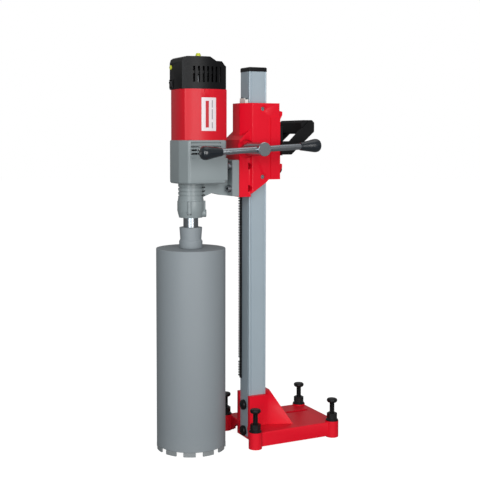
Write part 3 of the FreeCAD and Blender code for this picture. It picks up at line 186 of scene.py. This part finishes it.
# %% Drawn lines: the long fine scratches of an extrusion or a turned face
def build_lines_group():
    """Normal and mask from noise that is stretched by a different factor along each axis."""
    tree, entry, leave = new_group("drawn_lines", [("Stretch", NORMAL, (900.0, 900.0, 8.0)),
                                                   ("Height", FLOAT, 0.00002)],
                                   [("Normal", NORMAL), ("Mask", FLOAT)])
    place = tree.nodes.new("ShaderNodeTexCoord")
    spread = tree.nodes.new("ShaderNodeVectorMath")
    spread.operation = "MULTIPLY"
    tree.links.new(place.outputs["Object"], spread.inputs[0])
    tree.links.new(entry.outputs["Stretch"], spread.inputs[1])
    noise = tree.nodes.new("ShaderNodeTexNoise")
    noise.inputs["Scale"].default_value = 1.0
    noise.inputs["Detail"].default_value = 3.0
    tree.links.new(spread.outputs[0], noise.inputs["Vector"])
    bump = tree.nodes.new("ShaderNodeBump")
    bump.inputs["Strength"].default_value = 0.5
    tree.links.new(entry.outputs["Height"], bump.inputs["Distance"])
    tree.links.new(noise.outputs["Fac"], bump.inputs["Height"])
    tree.links.new(bump.outputs["Normal"], leave.inputs["Normal"])
    tree.links.new(noise.outputs["Fac"], leave.inputs["Mask"])
    return tree


tone_group = build_tone_group()
grain_group = build_grain_group()
dust_group = build_dust_group()
lines_group = build_lines_group()
print("node groups:", [g.name for g in bpy.data.node_groups])


# %% [markdown]
# ## Finishes
#
# Powder coat on castings is glossy with a faint orange peel; moulded nylon is satin with a grain;
# enamel on the gear case is satin grey; the column is anodised with drawn lines along its length.
# One function covers coats and mouldings, another covers bare metal, because only the numbers differ.

# %% Coats and mouldings
def rgba(red, green, blue):
    """A colour with full opacity."""
    return (red, green, blue, 1.0)


def placed(material, group, **values):
    """A group node in a material, with its named inputs set."""
    node = material.node_tree.nodes.new("ShaderNodeGroup")
    node.node_tree = group
    for label, value in values.items():
        node.inputs[label].default_value = value
    return node


def blank(name):
    """A new material with its links and its Principled shader."""
    material = bpy.data.materials.new(name)
    material.use_nodes = True
    return material, material.node_tree.links, material.node_tree.nodes["Principled BSDF"]


def rough_from(material, shader, mask, low, high):
    """Roughness runs from low to high with a mask."""
    spread = material.node_tree.nodes.new("ShaderNodeMapRange")
    spread.inputs["To Min"].default_value = low
    spread.inputs["To Max"].default_value = high
    material.node_tree.links.new(mask, spread.inputs["Value"])
    material.node_tree.links.new(spread.outputs[0], shader.inputs["Roughness"])


def coated(name, base, second, rough, grain=(700.0, 0.00004), tone=(14.0, 0.6), dust=(0.25, 0.12),
           coat=0.0, specular=0.5):
    """A painted, powder-coated or moulded surface."""
    material, links, shader = blank(name)
    wander = placed(material, tone_group, Base=rgba(*base), Second=rgba(*second), Scale=tone[0],
                    Amount=tone[1])
    settle = placed(material, dust_group, Amount=dust[0], Reach=dust[1])
    links.new(wander.outputs["Colour"], settle.inputs["Base"])
    links.new(settle.outputs["Colour"], shader.inputs["Base Color"])
    relief = placed(material, grain_group, Scale=grain[0], Height=grain[1])
    links.new(relief.outputs["Normal"], shader.inputs["Normal"])
    rough_from(material, shader, relief.outputs["Fac"], rough[0], rough[1])
    shader.inputs["Specular IOR Level"].default_value = specular
    shader.inputs["Coat Weight"].default_value = coat
    shader.inputs["Coat Roughness"].default_value = 0.12
    return material


# %% Bare metals
def bare_metal(name, base, second, rough, tone=(25.0, 0.6), stretch=(400.0, 400.0, 400.0), height=0.00001,
               metallic=1.0):
    """Machined, drawn or plated metal: a tone, and fine lines in the direction of the last tool."""
    material, links, shader = blank(name)
    wander = placed(material, tone_group, Base=rgba(*base), Second=rgba(*second), Scale=tone[0],
                    Amount=tone[1])
    links.new(wander.outputs["Colour"], shader.inputs["Base Color"])
    relief = placed(material, lines_group, Stretch=stretch, Height=height)
    links.new(relief.outputs["Normal"], shader.inputs["Normal"])
    rough_from(material, shader, relief.outputs["Mask"], rough[0], rough[1])
    shader.inputs["Metallic"].default_value = metallic
    return material


finishes = {
    "casting_red": coated("casting_red", (0.70, 0.0006, 0.016), (0.60, 0.0004, 0.011), (0.36, 0.48),
                          coat=0.05, grain=(420.0, 0.00012), dust=(0.015, 0.12), specular=0.2),
    "motor_red": coated("motor_red", (0.62, 0.004, 0.016), (0.52, 0.003, 0.012), (0.36, 0.48), coat=0.05,
                        grain=(900.0, 0.00005), dust=(0.02, 0.1), specular=0.28),
    "cap_black": coated("cap_black", (0.0022, 0.0022, 0.0027), (0.004, 0.0042, 0.005), (0.36, 0.5),
                        grain=(1500.0, 0.00006), dust=(0.006, 0.1), specular=0.2),
    "case_grey": coated("case_grey", (0.235, 0.268, 0.275), (0.205, 0.235, 0.242), (0.32, 0.44), coat=0.1,
                        grain=(500.0, 0.00009), dust=(0.05, 0.1), specular=0.4),
    "column_alloy": bare_metal("column_alloy", (0.36, 0.43, 0.475), (0.31, 0.37, 0.42), (0.36, 0.48),
                               stretch=(1500.0, 1500.0, 6.0), height=0.00002, metallic=0.3),
    "black_steel": bare_metal("black_steel", (0.008, 0.008, 0.009), (0.016, 0.016, 0.017), (0.34, 0.5),
                              metallic=0.6),
    "steel": bare_metal("steel", (0.30, 0.31, 0.33), (0.25, 0.26, 0.28), (0.26, 0.38)),
    "chrome": bare_metal("chrome", (0.40, 0.43, 0.46), (0.34, 0.37, 0.40), (0.2, 0.3), height=0.000006),
    "bit_grey": coated("bit_grey", (0.23, 0.256, 0.272), (0.20, 0.224, 0.242), (0.5, 0.62), coat=0.0,
                       grain=(260.0, 0.00008), tone=(6.0, 0.6), dust=(0.06, 0.05), specular=0.45),
    "segment": bare_metal("segment", (0.25, 0.27, 0.28), (0.34, 0.35, 0.35), (0.5, 0.7),
                          stretch=(2200.0, 2200.0, 2200.0), height=0.0001, metallic=0.4),
    "nylon": coated("nylon", (0.70, 0.70, 0.66), (0.62, 0.62, 0.58), (0.4, 0.5)),
    "grip_black": coated("grip_black", (0.0022, 0.0022, 0.0025), (0.004, 0.004, 0.0045), (0.45, 0.6),
                         grain=(1300.0, 0.0001), dust=(0.005, 0.1), specular=0.2),
    "knob_black": coated("knob_black", (0.005, 0.008, 0.012), (0.008, 0.013, 0.018), (0.18, 0.3), coat=0.4,
                         grain=(500.0, 0.00003), dust=(0.0, 0.1)),
    "bronze": bare_metal("bronze", (0.52, 0.34, 0.14), (0.44, 0.27, 0.10), (0.26, 0.4)),
    "copper": bare_metal("copper", (0.60, 0.28, 0.13), (0.50, 0.20, 0.09), (0.3, 0.45)),
    "seal": coated("seal", (0.02, 0.018, 0.018), (0.03, 0.028, 0.028), (0.5, 0.62), dust=(0.0, 0.1)),
    "carbon": coated("carbon", (0.03, 0.03, 0.034), (0.045, 0.045, 0.05), (0.5, 0.6), dust=(0.0, 0.1)),
    "rocker_black": coated("rocker_black", (0.012, 0.012, 0.014), (0.018, 0.018, 0.02), (0.2, 0.3),
                           dust=(0.0, 0.1)),
}


# %% [markdown]
# ### The rating plate
#
# The plate is a thin printed sheet. It carries no words: a pale ground, a red upright band and a few
# grey rules stand for its print. Each mark is a rectangle in the plate's own Y and Z, so a small group
# that returns 1 inside a rectangle is enough, and the marks are mixed in one after another.

# %% Rectangle mask and the plate's material
def build_rectangle_group():
    """Mask = 1 where |y - cy| < half width and |z - cz| < half height."""
    tree, entry, leave = new_group(
        "rectangle", [("Y", FLOAT, 0.0), ("Z", FLOAT, 0.0), ("Half Y", FLOAT, 0.01), ("Half Z", FLOAT, 0.01)],
        [("Mask", FLOAT)])
    place = tree.nodes.new("ShaderNodeTexCoord")
    split = tree.nodes.new("ShaderNodeSeparateXYZ")
    tree.links.new(place.outputs["Object"], split.inputs[0])
    inside = []
    for axis in ("Y", "Z"):
        near = tree.nodes.new("ShaderNodeMath")
        near.operation = "COMPARE"
        tree.links.new(split.outputs[axis], near.inputs[0])
        tree.links.new(entry.outputs[axis], near.inputs[1])
        tree.links.new(entry.outputs[f"Half {axis}"], near.inputs[2])
        inside.append(near.outputs[0])
    both = tree.nodes.new("ShaderNodeMath")
    both.operation = "MULTIPLY"
    tree.links.new(inside[0], both.inputs[0])
    tree.links.new(inside[1], both.inputs[1])
    tree.links.new(both.outputs[0], leave.inputs["Mask"])
    return tree


def rating_plate_material():
    """A pale ground with a red band and three grey rules, as shares of the plate's half size."""
    low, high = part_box("label_plate")
    middle, half = (low + high) / 2, (high - low) / 2
    material, links, shader = blank("label")
    colour = placed(material, tone_group, Base=rgba(0.74, 0.66, 0.68), Second=rgba(0.66, 0.58, 0.61),
                    Scale=30.0, Amount=0.4).outputs["Colour"]
    rectangle = build_rectangle_group()
    red, grey = rgba(0.50, 0.02, 0.03), rgba(0.25, 0.22, 0.24)
    marks = [(-0.25, 0.0, 0.22, 0.80, red), (0.45, 0.62, 0.06, 0.22, grey), (0.45, 0.0, 0.06, 0.30, grey),
             (0.45, -0.66, 0.06, 0.18, grey)]
    for y, z, half_y, half_z, paint in marks:
        mask = placed(material, rectangle, **{"Y": middle.y + y * half.y, "Z": middle.z + z * half.z,
                                              "Half Y": half_y * half.y, "Half Z": half_z * half.z})
        blend = material.node_tree.nodes.new("ShaderNodeMix")
        blend.data_type = "RGBA"
        links.new(mask.outputs["Mask"], blend.inputs["Factor"])
        links.new(colour, blend.inputs["A"])
        blend.inputs["B"].default_value = paint
        colour = blend.outputs["Result"]
    links.new(colour, shader.inputs["Base Color"])
    shader.inputs["Roughness"].default_value = 0.28
    return material


def vial_material():
    """Yellow-green spirit in a clear vial."""
    material, links, shader = blank("bubble")
    wander = placed(material, tone_group, Base=rgba(0.62, 0.66, 0.04), Second=rgba(0.5, 0.55, 0.02),
                    Scale=90.0)
    links.new(wander.outputs["Colour"], shader.inputs["Base Color"])
    shader.inputs["Roughness"].default_value = 0.08
    shader.inputs["Coat Weight"].default_value = 0.8
    return material


finishes["label"] = rating_plate_material()
finishes["bubble"] = vial_material()
print("finishes:", len(finishes))


# %% [markdown]
# ## Castings and mouldings with soft edges
#
# No cast or moulded edge is razor sharp, and the thin bright line along an edge is what makes a
# picture of a machine look real. A CAD node is loose triangles, so it is copied, its doubled corners
# are merged, its flat regions are dissolved into single faces and a Bevel modifier rounds what is
# left. The copy stands for the node, which stays hidden underneath for the mechanics.

# %% A softened copy of a CAD node
def finish_piece(piece, node):
    """The finish named by the node's slot, the node's body as parent, and the node hidden under the piece."""
    piece.data.materials.clear()
    piece.data.materials.append(finishes[slot_of_node[node]])
    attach(piece, body_of_node[node])
    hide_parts(node)
    return piece


corner_gap = 5e-6                 # corners nearer than this are one corner
flat_angle = math.radians(0.6)    # faces that turn by less than this are one flat region


def softened(node, edge, crease=28.0, segments=2):
    """A copy of a CAD node whose edges sharper than `crease` degrees are rounded by `edge` metres."""
    mesh = frame["nodes"][node].data.copy()
    solid = bmesh.new()
    solid.from_mesh(mesh)
    bmesh.ops.remove_doubles(solid, verts=solid.verts, dist=corner_gap)
    bmesh.ops.dissolve_limit(solid, angle_limit=flat_angle, verts=solid.verts, edges=solid.edges)
    solid.to_mesh(mesh)
    solid.free()
    mesh.shade_smooth()
    mesh.set_sharp_from_angle(angle=math.radians(crease))
    piece = bpy.data.objects.new(f"{node}_skin", mesh)
    bpy.context.scene.collection.objects.link(piece)
    if edge > 0:
        bevel = piece.modifiers.new("edge", "BEVEL")
        bevel.width = edge
        bevel.segments = segments
        bevel.limit_method = "ANGLE"
        bevel.angle_limit = math.radians(crease)
        bevel.use_clamp_overlap = True
        bevel.harden_normals = True
    return finish_piece(piece, node)


soft_edges = {
    "base_casting": 0.0012, "carriage_casting": 0.0011, "gear_case_lower": 0.0008, "gear_case_upper": 0.0006,
    "motor_housing": 0.0008, "motor_cap": 0.0006, "column": 0.0002, "column_end_cap": 0.0005,
    "carry_handle": 0.0014, "water_collar": 0.0008, "levelling_lock_nuts": 0.0006, "column_bolts": 0.0005,
    "drill_mounting_bolts": 0.0005, "column_wiper": 0.0006, "label_plate": 0.0001, "power_gland": 0.0005,
    "bubble_levels": 0.0004, "switch_housing": 0.0005, "switch_rocker": 0.0006, "motor_cap_screws": 0.0003,
    "guide_adjusting_screws": 0.0003, "carry_handle_screws": 0.0004, "wiper_screws": 0.0002,
    "carriage_lock_screw": 0.0007, "bit_segments": 0.0003,
}
for node, edge in soft_edges.items():
    softened(node, edge)
print("softened pieces:", len(soft_edges))


# %% [markdown]
# ## Turned pieces
#
# The bit, spindle, hub, knobs and screws come off a lathe. A turned surface is a function of two
# parameters: how far along its half section, and how far round. The half section's corners are first
# replaced by small curves, so that every shoulder has its own edge radius.

# %% Rounding a half section and sweeping it round
def eased(outline, radius, steps=4):
    """Every inner corner P of an open outline becomes the curve (1-s)^2 A + 2s(1-s) P + s^2 B."""
    points = np.array(outline, float)
    before, corner, after = points[:-2], points[1:-1], points[2:]
    back, ahead = before - corner, after - corner
    back_length = np.linalg.norm(back, axis=1, keepdims=True)
    ahead_length = np.linalg.norm(ahead, axis=1, keepdims=True)
    start = corner + back / back_length * np.minimum(radius, 0.45 * back_length)
    stop = corner + ahead / ahead_length * np.minimum(radius, 0.45 * ahead_length)
    s = np.linspace(0.0, 1.0, steps + 1)[None, :, None]
    curve = (1 - s) ** 2 * start[:, None] + 2 * s * (1 - s) * corner[:, None] + s ** 2 * stop[:, None]
    return np.vstack([points[:1], curve.reshape(-1, 2), points[-1:]])


pole_gap = 1e-7                   # a row of no radius closes to one point
turned_crease = math.radians(40)  # a shoulder sharper than this keeps its edge


def mesh_from_grid(name, grid):
    """A closed tube of quads from a (rows, columns, 3) grid; rows of no radius close to a point."""
    rows, columns = grid.shape[:2]
    index = np.arange(rows * columns).reshape(rows, columns)
    right = np.roll(index, -1, axis=1)
    faces = np.stack([index[:-1], right[:-1], right[1:], index[1:]], axis=-1).reshape(-1, 4)
    mesh = bpy.data.meshes.new(name)
    mesh.from_pydata(grid.reshape(-1, 3).tolist(), [], faces.tolist())
    solid = bmesh.new()
    solid.from_mesh(mesh)
    bmesh.ops.remove_doubles(solid, verts=solid.verts, dist=pole_gap)
    bmesh.ops.recalc_face_normals(solid, faces=solid.faces)
    solid.to_mesh(mesh)
    solid.free()
    mesh.shade_smooth()
    mesh.set_sharp_from_angle(angle=turned_crease)
    return mesh


def lathe_grid(outline, sides=96, basis=np.eye(3), centre=(0, 0, 0)):
    """Point(u, v) = centre + basis . (r(u) cos v, r(u) sin v, h(u))."""
    angle = np.linspace(0, 2 * np.pi, sides, endpoint=False)
    radius, height = outline[:, :1], outline[:, 1:]
    ring = np.stack([radius * np.cos(angle), radius * np.sin(angle), height + 0 * angle], axis=-1)
    return ring @ np.asarray(basis, float).T + np.asarray(centre, float)


def add_piece(name, mesh, node):
    """A new surface in the scene, standing for a CAD node."""
    piece = bpy.data.objects.new(name, mesh)
    bpy.context.scene.collection.objects.link(piece)
    return finish_piece(piece, node)


# %% [markdown]
# ### The core bit
#
# The barrel is a rolled steel tube with a welded top plate, lacquered grey. Its half section goes once
# round the wall, so the inside is a real inside. The lower rim carries a slightly thicker ring of
# segments, which come from the frame because their number and gaps are set there.

# %% Barrel
low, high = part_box("bit_barrel")
bit_axis = (low + high) / 2
bit_radius = (high.x - low.x) / 2
bit_wall, bit_plate, arbor_hole = 0.003, 0.006, 0.006
bore_radius = bit_radius - bit_wall
inner_seam = 0.2                  # height at which the closed section starts and ends, out of sight
bit_edge = 0.0012
barrel_section = eased(
    [(bore_radius, inner_seam), (bore_radius, low.z), (bit_radius, low.z), (bit_radius, high.z),
     (arbor_hole, high.z), (arbor_hole, high.z - bit_plate), (bore_radius, high.z - bit_plate),
     (bore_radius, inner_seam)], bit_edge, steps=3)
barrel = add_piece("barrel", mesh_from_grid("barrel", lathe_grid(
    barrel_section, 192, centre=(bit_axis.x, bit_axis.y, 0))), "bit_barrel")
print("barrel:", round(bit_radius * 2000, 1), "mm across,", len(barrel.data.polygons), "faces")

# %% Hub that joins the barrel to the spindle
low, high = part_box("bit_hub")
flange_radius = (high.x - low.x) / 2
neck_radius = flange_radius - 0.0006
spindle_bore = 0.01301            # the hub's bore, a hundredth over the spindle's nose
hub_floor, flange_top, neck_foot = 0.486, 0.476, 0.480
neck_step, bore_seam, hub_edge = 0.002, 0.5, 0.0011
hub_section = eased(
    [(spindle_bore, bore_seam), (spindle_bore, hub_floor), (arbor_hole, hub_floor), (arbor_hole, low.z),
     (flange_radius, low.z), (flange_radius, flange_top), (neck_radius - neck_step, neck_foot),
     (neck_radius, high.z), (spindle_bore, high.z), (spindle_bore, bore_seam)], hub_edge, steps=3)
bit_hub = add_piece("arbor_hub", mesh_from_grid("arbor_hub", lathe_grid(
    hub_section, 128, centre=(bit_axis.x, bit_axis.y, 0))), "bit_hub")
print("hub:", len(bit_hub.data.polygons), "faces")


# %% [markdown]
# ### Levelling screws with a real thread
#
# An M12 thread is a ridge that climbs 1.75 mm a turn. On a grid of angle and height the radius is
# simply a saw-tooth of (height / pitch - angle / full turn), which makes a true helix with no
# boolean. Its ends fade out so that the shank meets the head and the tip without a step.

# %% The helical shank
thread_pitch, thread_depth, thread_radius = 0.00175, 0.0010, 0.006
thread_fade = 0.002               # length over which the ridge dies out at each end


def threaded_grid(radius, foot, top, centre, rows_per_turn=8, sides=40):
    """Radius(angle, height) = R - depth x |2 frac(height / pitch - angle / 2 pi) - 1|, faded at both ends."""
    rows = int((top - foot) / thread_pitch * rows_per_turn)
    height = np.linspace(foot, top, rows)[:, None]
    angle = np.linspace(0, 2 * np.pi, sides, endpoint=False)[None, :]
    phase = height / thread_pitch - angle / (2 * np.pi)
    wave = np.abs(2 * (phase - np.floor(phase)) - 1)
    fade = np.clip(np.minimum(height - foot, top - height) / thread_fade, 0, 1)
    r = radius - thread_depth * (wave * fade + 0.5 * (1 - fade))
    points = np.stack([r * np.cos(angle), r * np.sin(angle), height + 0 * angle], axis=-1)
    cap_low, cap_high = points[:1] * [0, 0, 1], points[-1:] * [0, 0, 1]
    return np.vstack([cap_low, points, cap_high]) + np.asarray(centre)


def joined(name, grids):
    """Several closed tubes in one mesh."""
    meshes = [mesh_from_grid(name, grid) for grid in grids]
    whole = bmesh.new()
    for mesh in meshes:
        whole.from_mesh(mesh)
        bpy.data.meshes.remove(mesh)
    mesh = bpy.data.meshes.new(name)
    whole.to_mesh(mesh)
    whole.free()
    mesh.shade_smooth()
    mesh.set_sharp_from_angle(angle=turned_crease)
    return mesh


# %% Four screws: a shank and a turned head with a soft rim
head_height, head_skirt, head_rim, head_crown = 0.009, 0.006, 0.002, 0.002
skirt_inset, head_edge = 0.0024, 0.0012
shank_top = 0.0085                # how far below the head's top the shank ends, inside the head
for number in range(1, 5):
    low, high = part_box(f"levelling_screw_{number}")
    middle, head_radius = (low + high) / 2, (high.x - low.x) / 2
    head = eased([(0, high.z - head_height), (head_radius - skirt_inset, high.z - head_height),
                  (head_radius, high.z - head_skirt), (head_radius, high.z - head_rim),
                  (head_radius - head_crown, high.z), (0, high.z)], head_edge)
    shank = threaded_grid(thread_radius, low.z, high.z - shank_top, (middle.x, middle.y, 0))
    screw = add_piece(f"screw_{number}", joined(f"screw_{number}", [
        shank, lathe_grid(head, 64, centre=(middle.x, middle.y, 0))]), f"levelling_screw_{number}")
print("levelling screws:", len(screw.data.polygons), "faces each")


# %% [markdown]
# ### The feed handle
#
# The cross bar passes through the hub and is tilted by a few degrees, as it was left after the last
# turn. Its knobs are tapered phenolic grips with a steel insert showing at the end of each.

# %% Bar and knobs, turned about the tilted axis
low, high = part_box("handle_hub")
hub_axis_y, hub_axis_z = (low.y + high.y) / 2, (low.z + high.z) / 2
bar_low, bar_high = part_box("cross_bar")
bar_x, bar_radius = (bar_low.x + bar_high.x) / 2, (bar_high.x - bar_low.x) / 2
bar_half, bar_tilt, bar_edge = 0.141, math.radians(3.2), 0.001
along = Vector((0, math.cos(bar_tilt), math.sin(bar_tilt)))
centre = Vector((bar_x, hub_axis_y, hub_axis_z))


def frame_along(direction):
    """Three unit columns whose last one is the given direction."""
    return np.array(Vector((0, 0, 1)).rotation_difference(direction).to_matrix())


bar_section = eased([(0, -bar_half), (bar_radius, -bar_half), (bar_radius, bar_half), (0, bar_half)],
                    bar_edge)
add_piece("bar", mesh_from_grid("bar", lathe_grid(bar_section, 64, frame_along(along), centre)), "cross_bar")

knob_long, knob_radius, knob_grip = 0.051, 0.0153, 0.043
# half section as shares of the knob's radius and length: a slim neck, a belly near the end, a flat nose
knob_shares = np.array([(0, 0.0), (0.53, 0.0), (0.585, 0.014), (0.65, 0.14), (0.745, 0.30), (0.84, 0.47),
                        (0.93, 0.61), (0.985, 0.72), (0.995, 0.79), (0.945, 0.88), (0.81, 0.945), (0.62, 0.985),
                        (0.40, 0.998), (0.29, 0.998), (0.265, 0.984), (0, 0.984)])
knob_curve = knob_shares * [knob_radius, knob_long]
knobs = []
for side in (-1, 1):
    start = centre + along * side * (bar_half - knob_grip)
    knobs.append(lathe_grid(knob_curve, 96, frame_along(along * side), start))
add_piece("knobs", joined("knobs", knobs), "handle_knobs")

insert_radius, insert_edge = 0.0036, 0.0004
insert_low, insert_top = knob_long - 0.0015, knob_long - 0.0004
insert = eased([(0, insert_low), (insert_radius, insert_low), (insert_radius, insert_top), (0, insert_top)],
               insert_edge)
ends = [lathe_grid(insert, 48, frame_along(along * side), centre + along * side * (bar_half - knob_grip))
        for side in (-1, 1)]
inserts = bpy.data.objects.new("knob_inserts", joined("knob_inserts", ends))
bpy.context.scene.collection.objects.link(inserts)
inserts.data.materials.append(finishes["steel"])
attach(inserts, "feed")
hub_rim = 0.0007
softened("handle_hub", hub_rim)
print("handle: bar", round(bar_half * 2000), "mm, knobs", knob_radius * 2000, "mm")


# %% [markdown]
# ## Pieces that stay as the frame has them
#
# What sits inside the housings or is already round and small keeps its CAD mesh and only takes its
# finish, so that the cut-open model is still right.

# %% Finishes for the remaining nodes
for node, obj in frame["nodes"].items():
    obj.data.materials.clear()
    obj.data.materials.append(finishes[slot_of_node[node]])
print("nodes with their finish:", len(frame["nodes"]))


# %% [markdown]
# ## Stage, light and camera
#
# A white floor and a white world give the plain background. Two soft lights of equal power stand on the
# handle side and towards the drilling side, so that every upright face has its own even tone. The one
# from above is weak, which keeps the tops darker than the sides.

# %% Floor and world
def seen_or_lit(tree, seen, lit):
    """One strength for rays from the camera and another for rays that light the object."""
    ray = tree.nodes.new("ShaderNodeLightPath")
    spread = tree.nodes.new("ShaderNodeMapRange")
    spread.inputs["To Min"].default_value = lit
    spread.inputs["To Max"].default_value = seen
    tree.links.new(ray.outputs["Is Camera Ray"], spread.inputs["Value"])
    return spread.outputs[0]


def build_floor(radius=14.0, sides=96, seen=0.95, lit=0.06):
    """A plain disc at height zero: z(x, y) = 0."""
    angle = np.linspace(0, 2 * np.pi, sides, endpoint=False)
    rim = np.stack([radius * np.cos(angle), radius * np.sin(angle), 0 * angle], axis=-1)
    mesh = bpy.data.meshes.new("floor")
    mesh.from_pydata(rim.tolist(), [], [list(range(sides))])
    floor = bpy.data.objects.new("floor", mesh)
    bpy.context.scene.collection.objects.link(floor)
    material, links, shader = blank("floor")
    shader.inputs["Base Color"].default_value = rgba(0.2, 0.2, 0.2)
    shader.inputs["Roughness"].default_value = 0.9
    shader.inputs["Specular IOR Level"].default_value = 0.1
    shader.inputs["Emission Color"].default_value = rgba(1, 1, 1)
    # the floor glows for the eye only, so that it looks white without lighting the object from below
    links.new(seen_or_lit(material.node_tree, seen, lit), shader.inputs["Emission Strength"])
    mesh.materials.append(material)
    return floor


def build_world(seen=1.0, lit=0.32):
    """White where it is looked at directly, weaker where it lights the object."""
    world = bpy.data.worlds.new("studio")
    bpy.context.scene.world = world
    world.use_nodes = True
    tree = world.node_tree
    back = tree.nodes["Background"]
    tree.links.new(seen_or_lit(tree, seen, lit), back.inputs["Strength"])
    back.inputs["Color"].default_value = rgba(1, 1, 1)
    return world


build_floor()
build_world()


# %% Lights and camera
def area_light(name, place, target, size, power, colour=(1, 1, 1)):
    """A rectangular lamp at a place, turned towards a target; its size is width and height."""
    light = bpy.data.lights.new(name, "AREA")
    light.shape, light.size, light.size_y = "RECTANGLE", size[0], size[1]
    light.energy, light.color = power, colour
    lamp = bpy.data.objects.new(name, light)
    bpy.context.scene.collection.objects.link(lamp)
    lamp.location = place
    lamp.rotation_euler = (Vector(target) - Vector(place)).to_track_quat("-Z", "Y").to_euler()
    return lamp


side_power, top_power = 50, 6     # watts
cool_white = (0.94, 0.98, 1.0)
area_light("handle_side", (3.0, -0.1, 1.0), (0, 0, 0.45), (1.3, 2.2), side_power)
area_light("drilling_side", (2.2, -2.0, 1.1), (0, -0.1, 0.5), (1.2, 2.2), side_power, cool_white)
area_light("above", (0.2, 0.2, 2.6), (0, 0, 0.4), (1.6, 1.6), top_power)


def aim_camera(place, azimuth, pitch, lens, shift):
    """Camera columns: right, up and backward, from the azimuth and the downward pitch."""
    forward = Vector((-math.sin(azimuth) * math.cos(pitch), math.cos(azimuth) * math.cos(pitch),
                      -math.sin(pitch)))
    right = Vector((math.cos(azimuth), math.sin(azimuth), 0))
    up = right.cross(forward)
    camera = bpy.data.objects.new("camera", bpy.data.cameras.new("camera"))
    bpy.context.scene.collection.objects.link(camera)
    camera.matrix_world = Matrix.Translation(place) @ Matrix((right, up, -forward)).transposed().to_4x4()
    camera.data.lens, camera.data.sensor_width = lens, 36
    camera.data.shift_x, camera.data.shift_y = shift
    bpy.context.scene.camera = camera
    return camera


camera_place, camera_lens = (1.9265, -1.0090, 0.7089), 69.7
camera_azimuth, camera_pitch = math.radians(64.41), math.radians(3.66)
camera_shift = (0.0417, -0.0883)
aim_camera(camera_place, camera_azimuth, camera_pitch, camera_lens, camera_shift)
bpy.context.scene.view_settings.view_transform = "Standard"
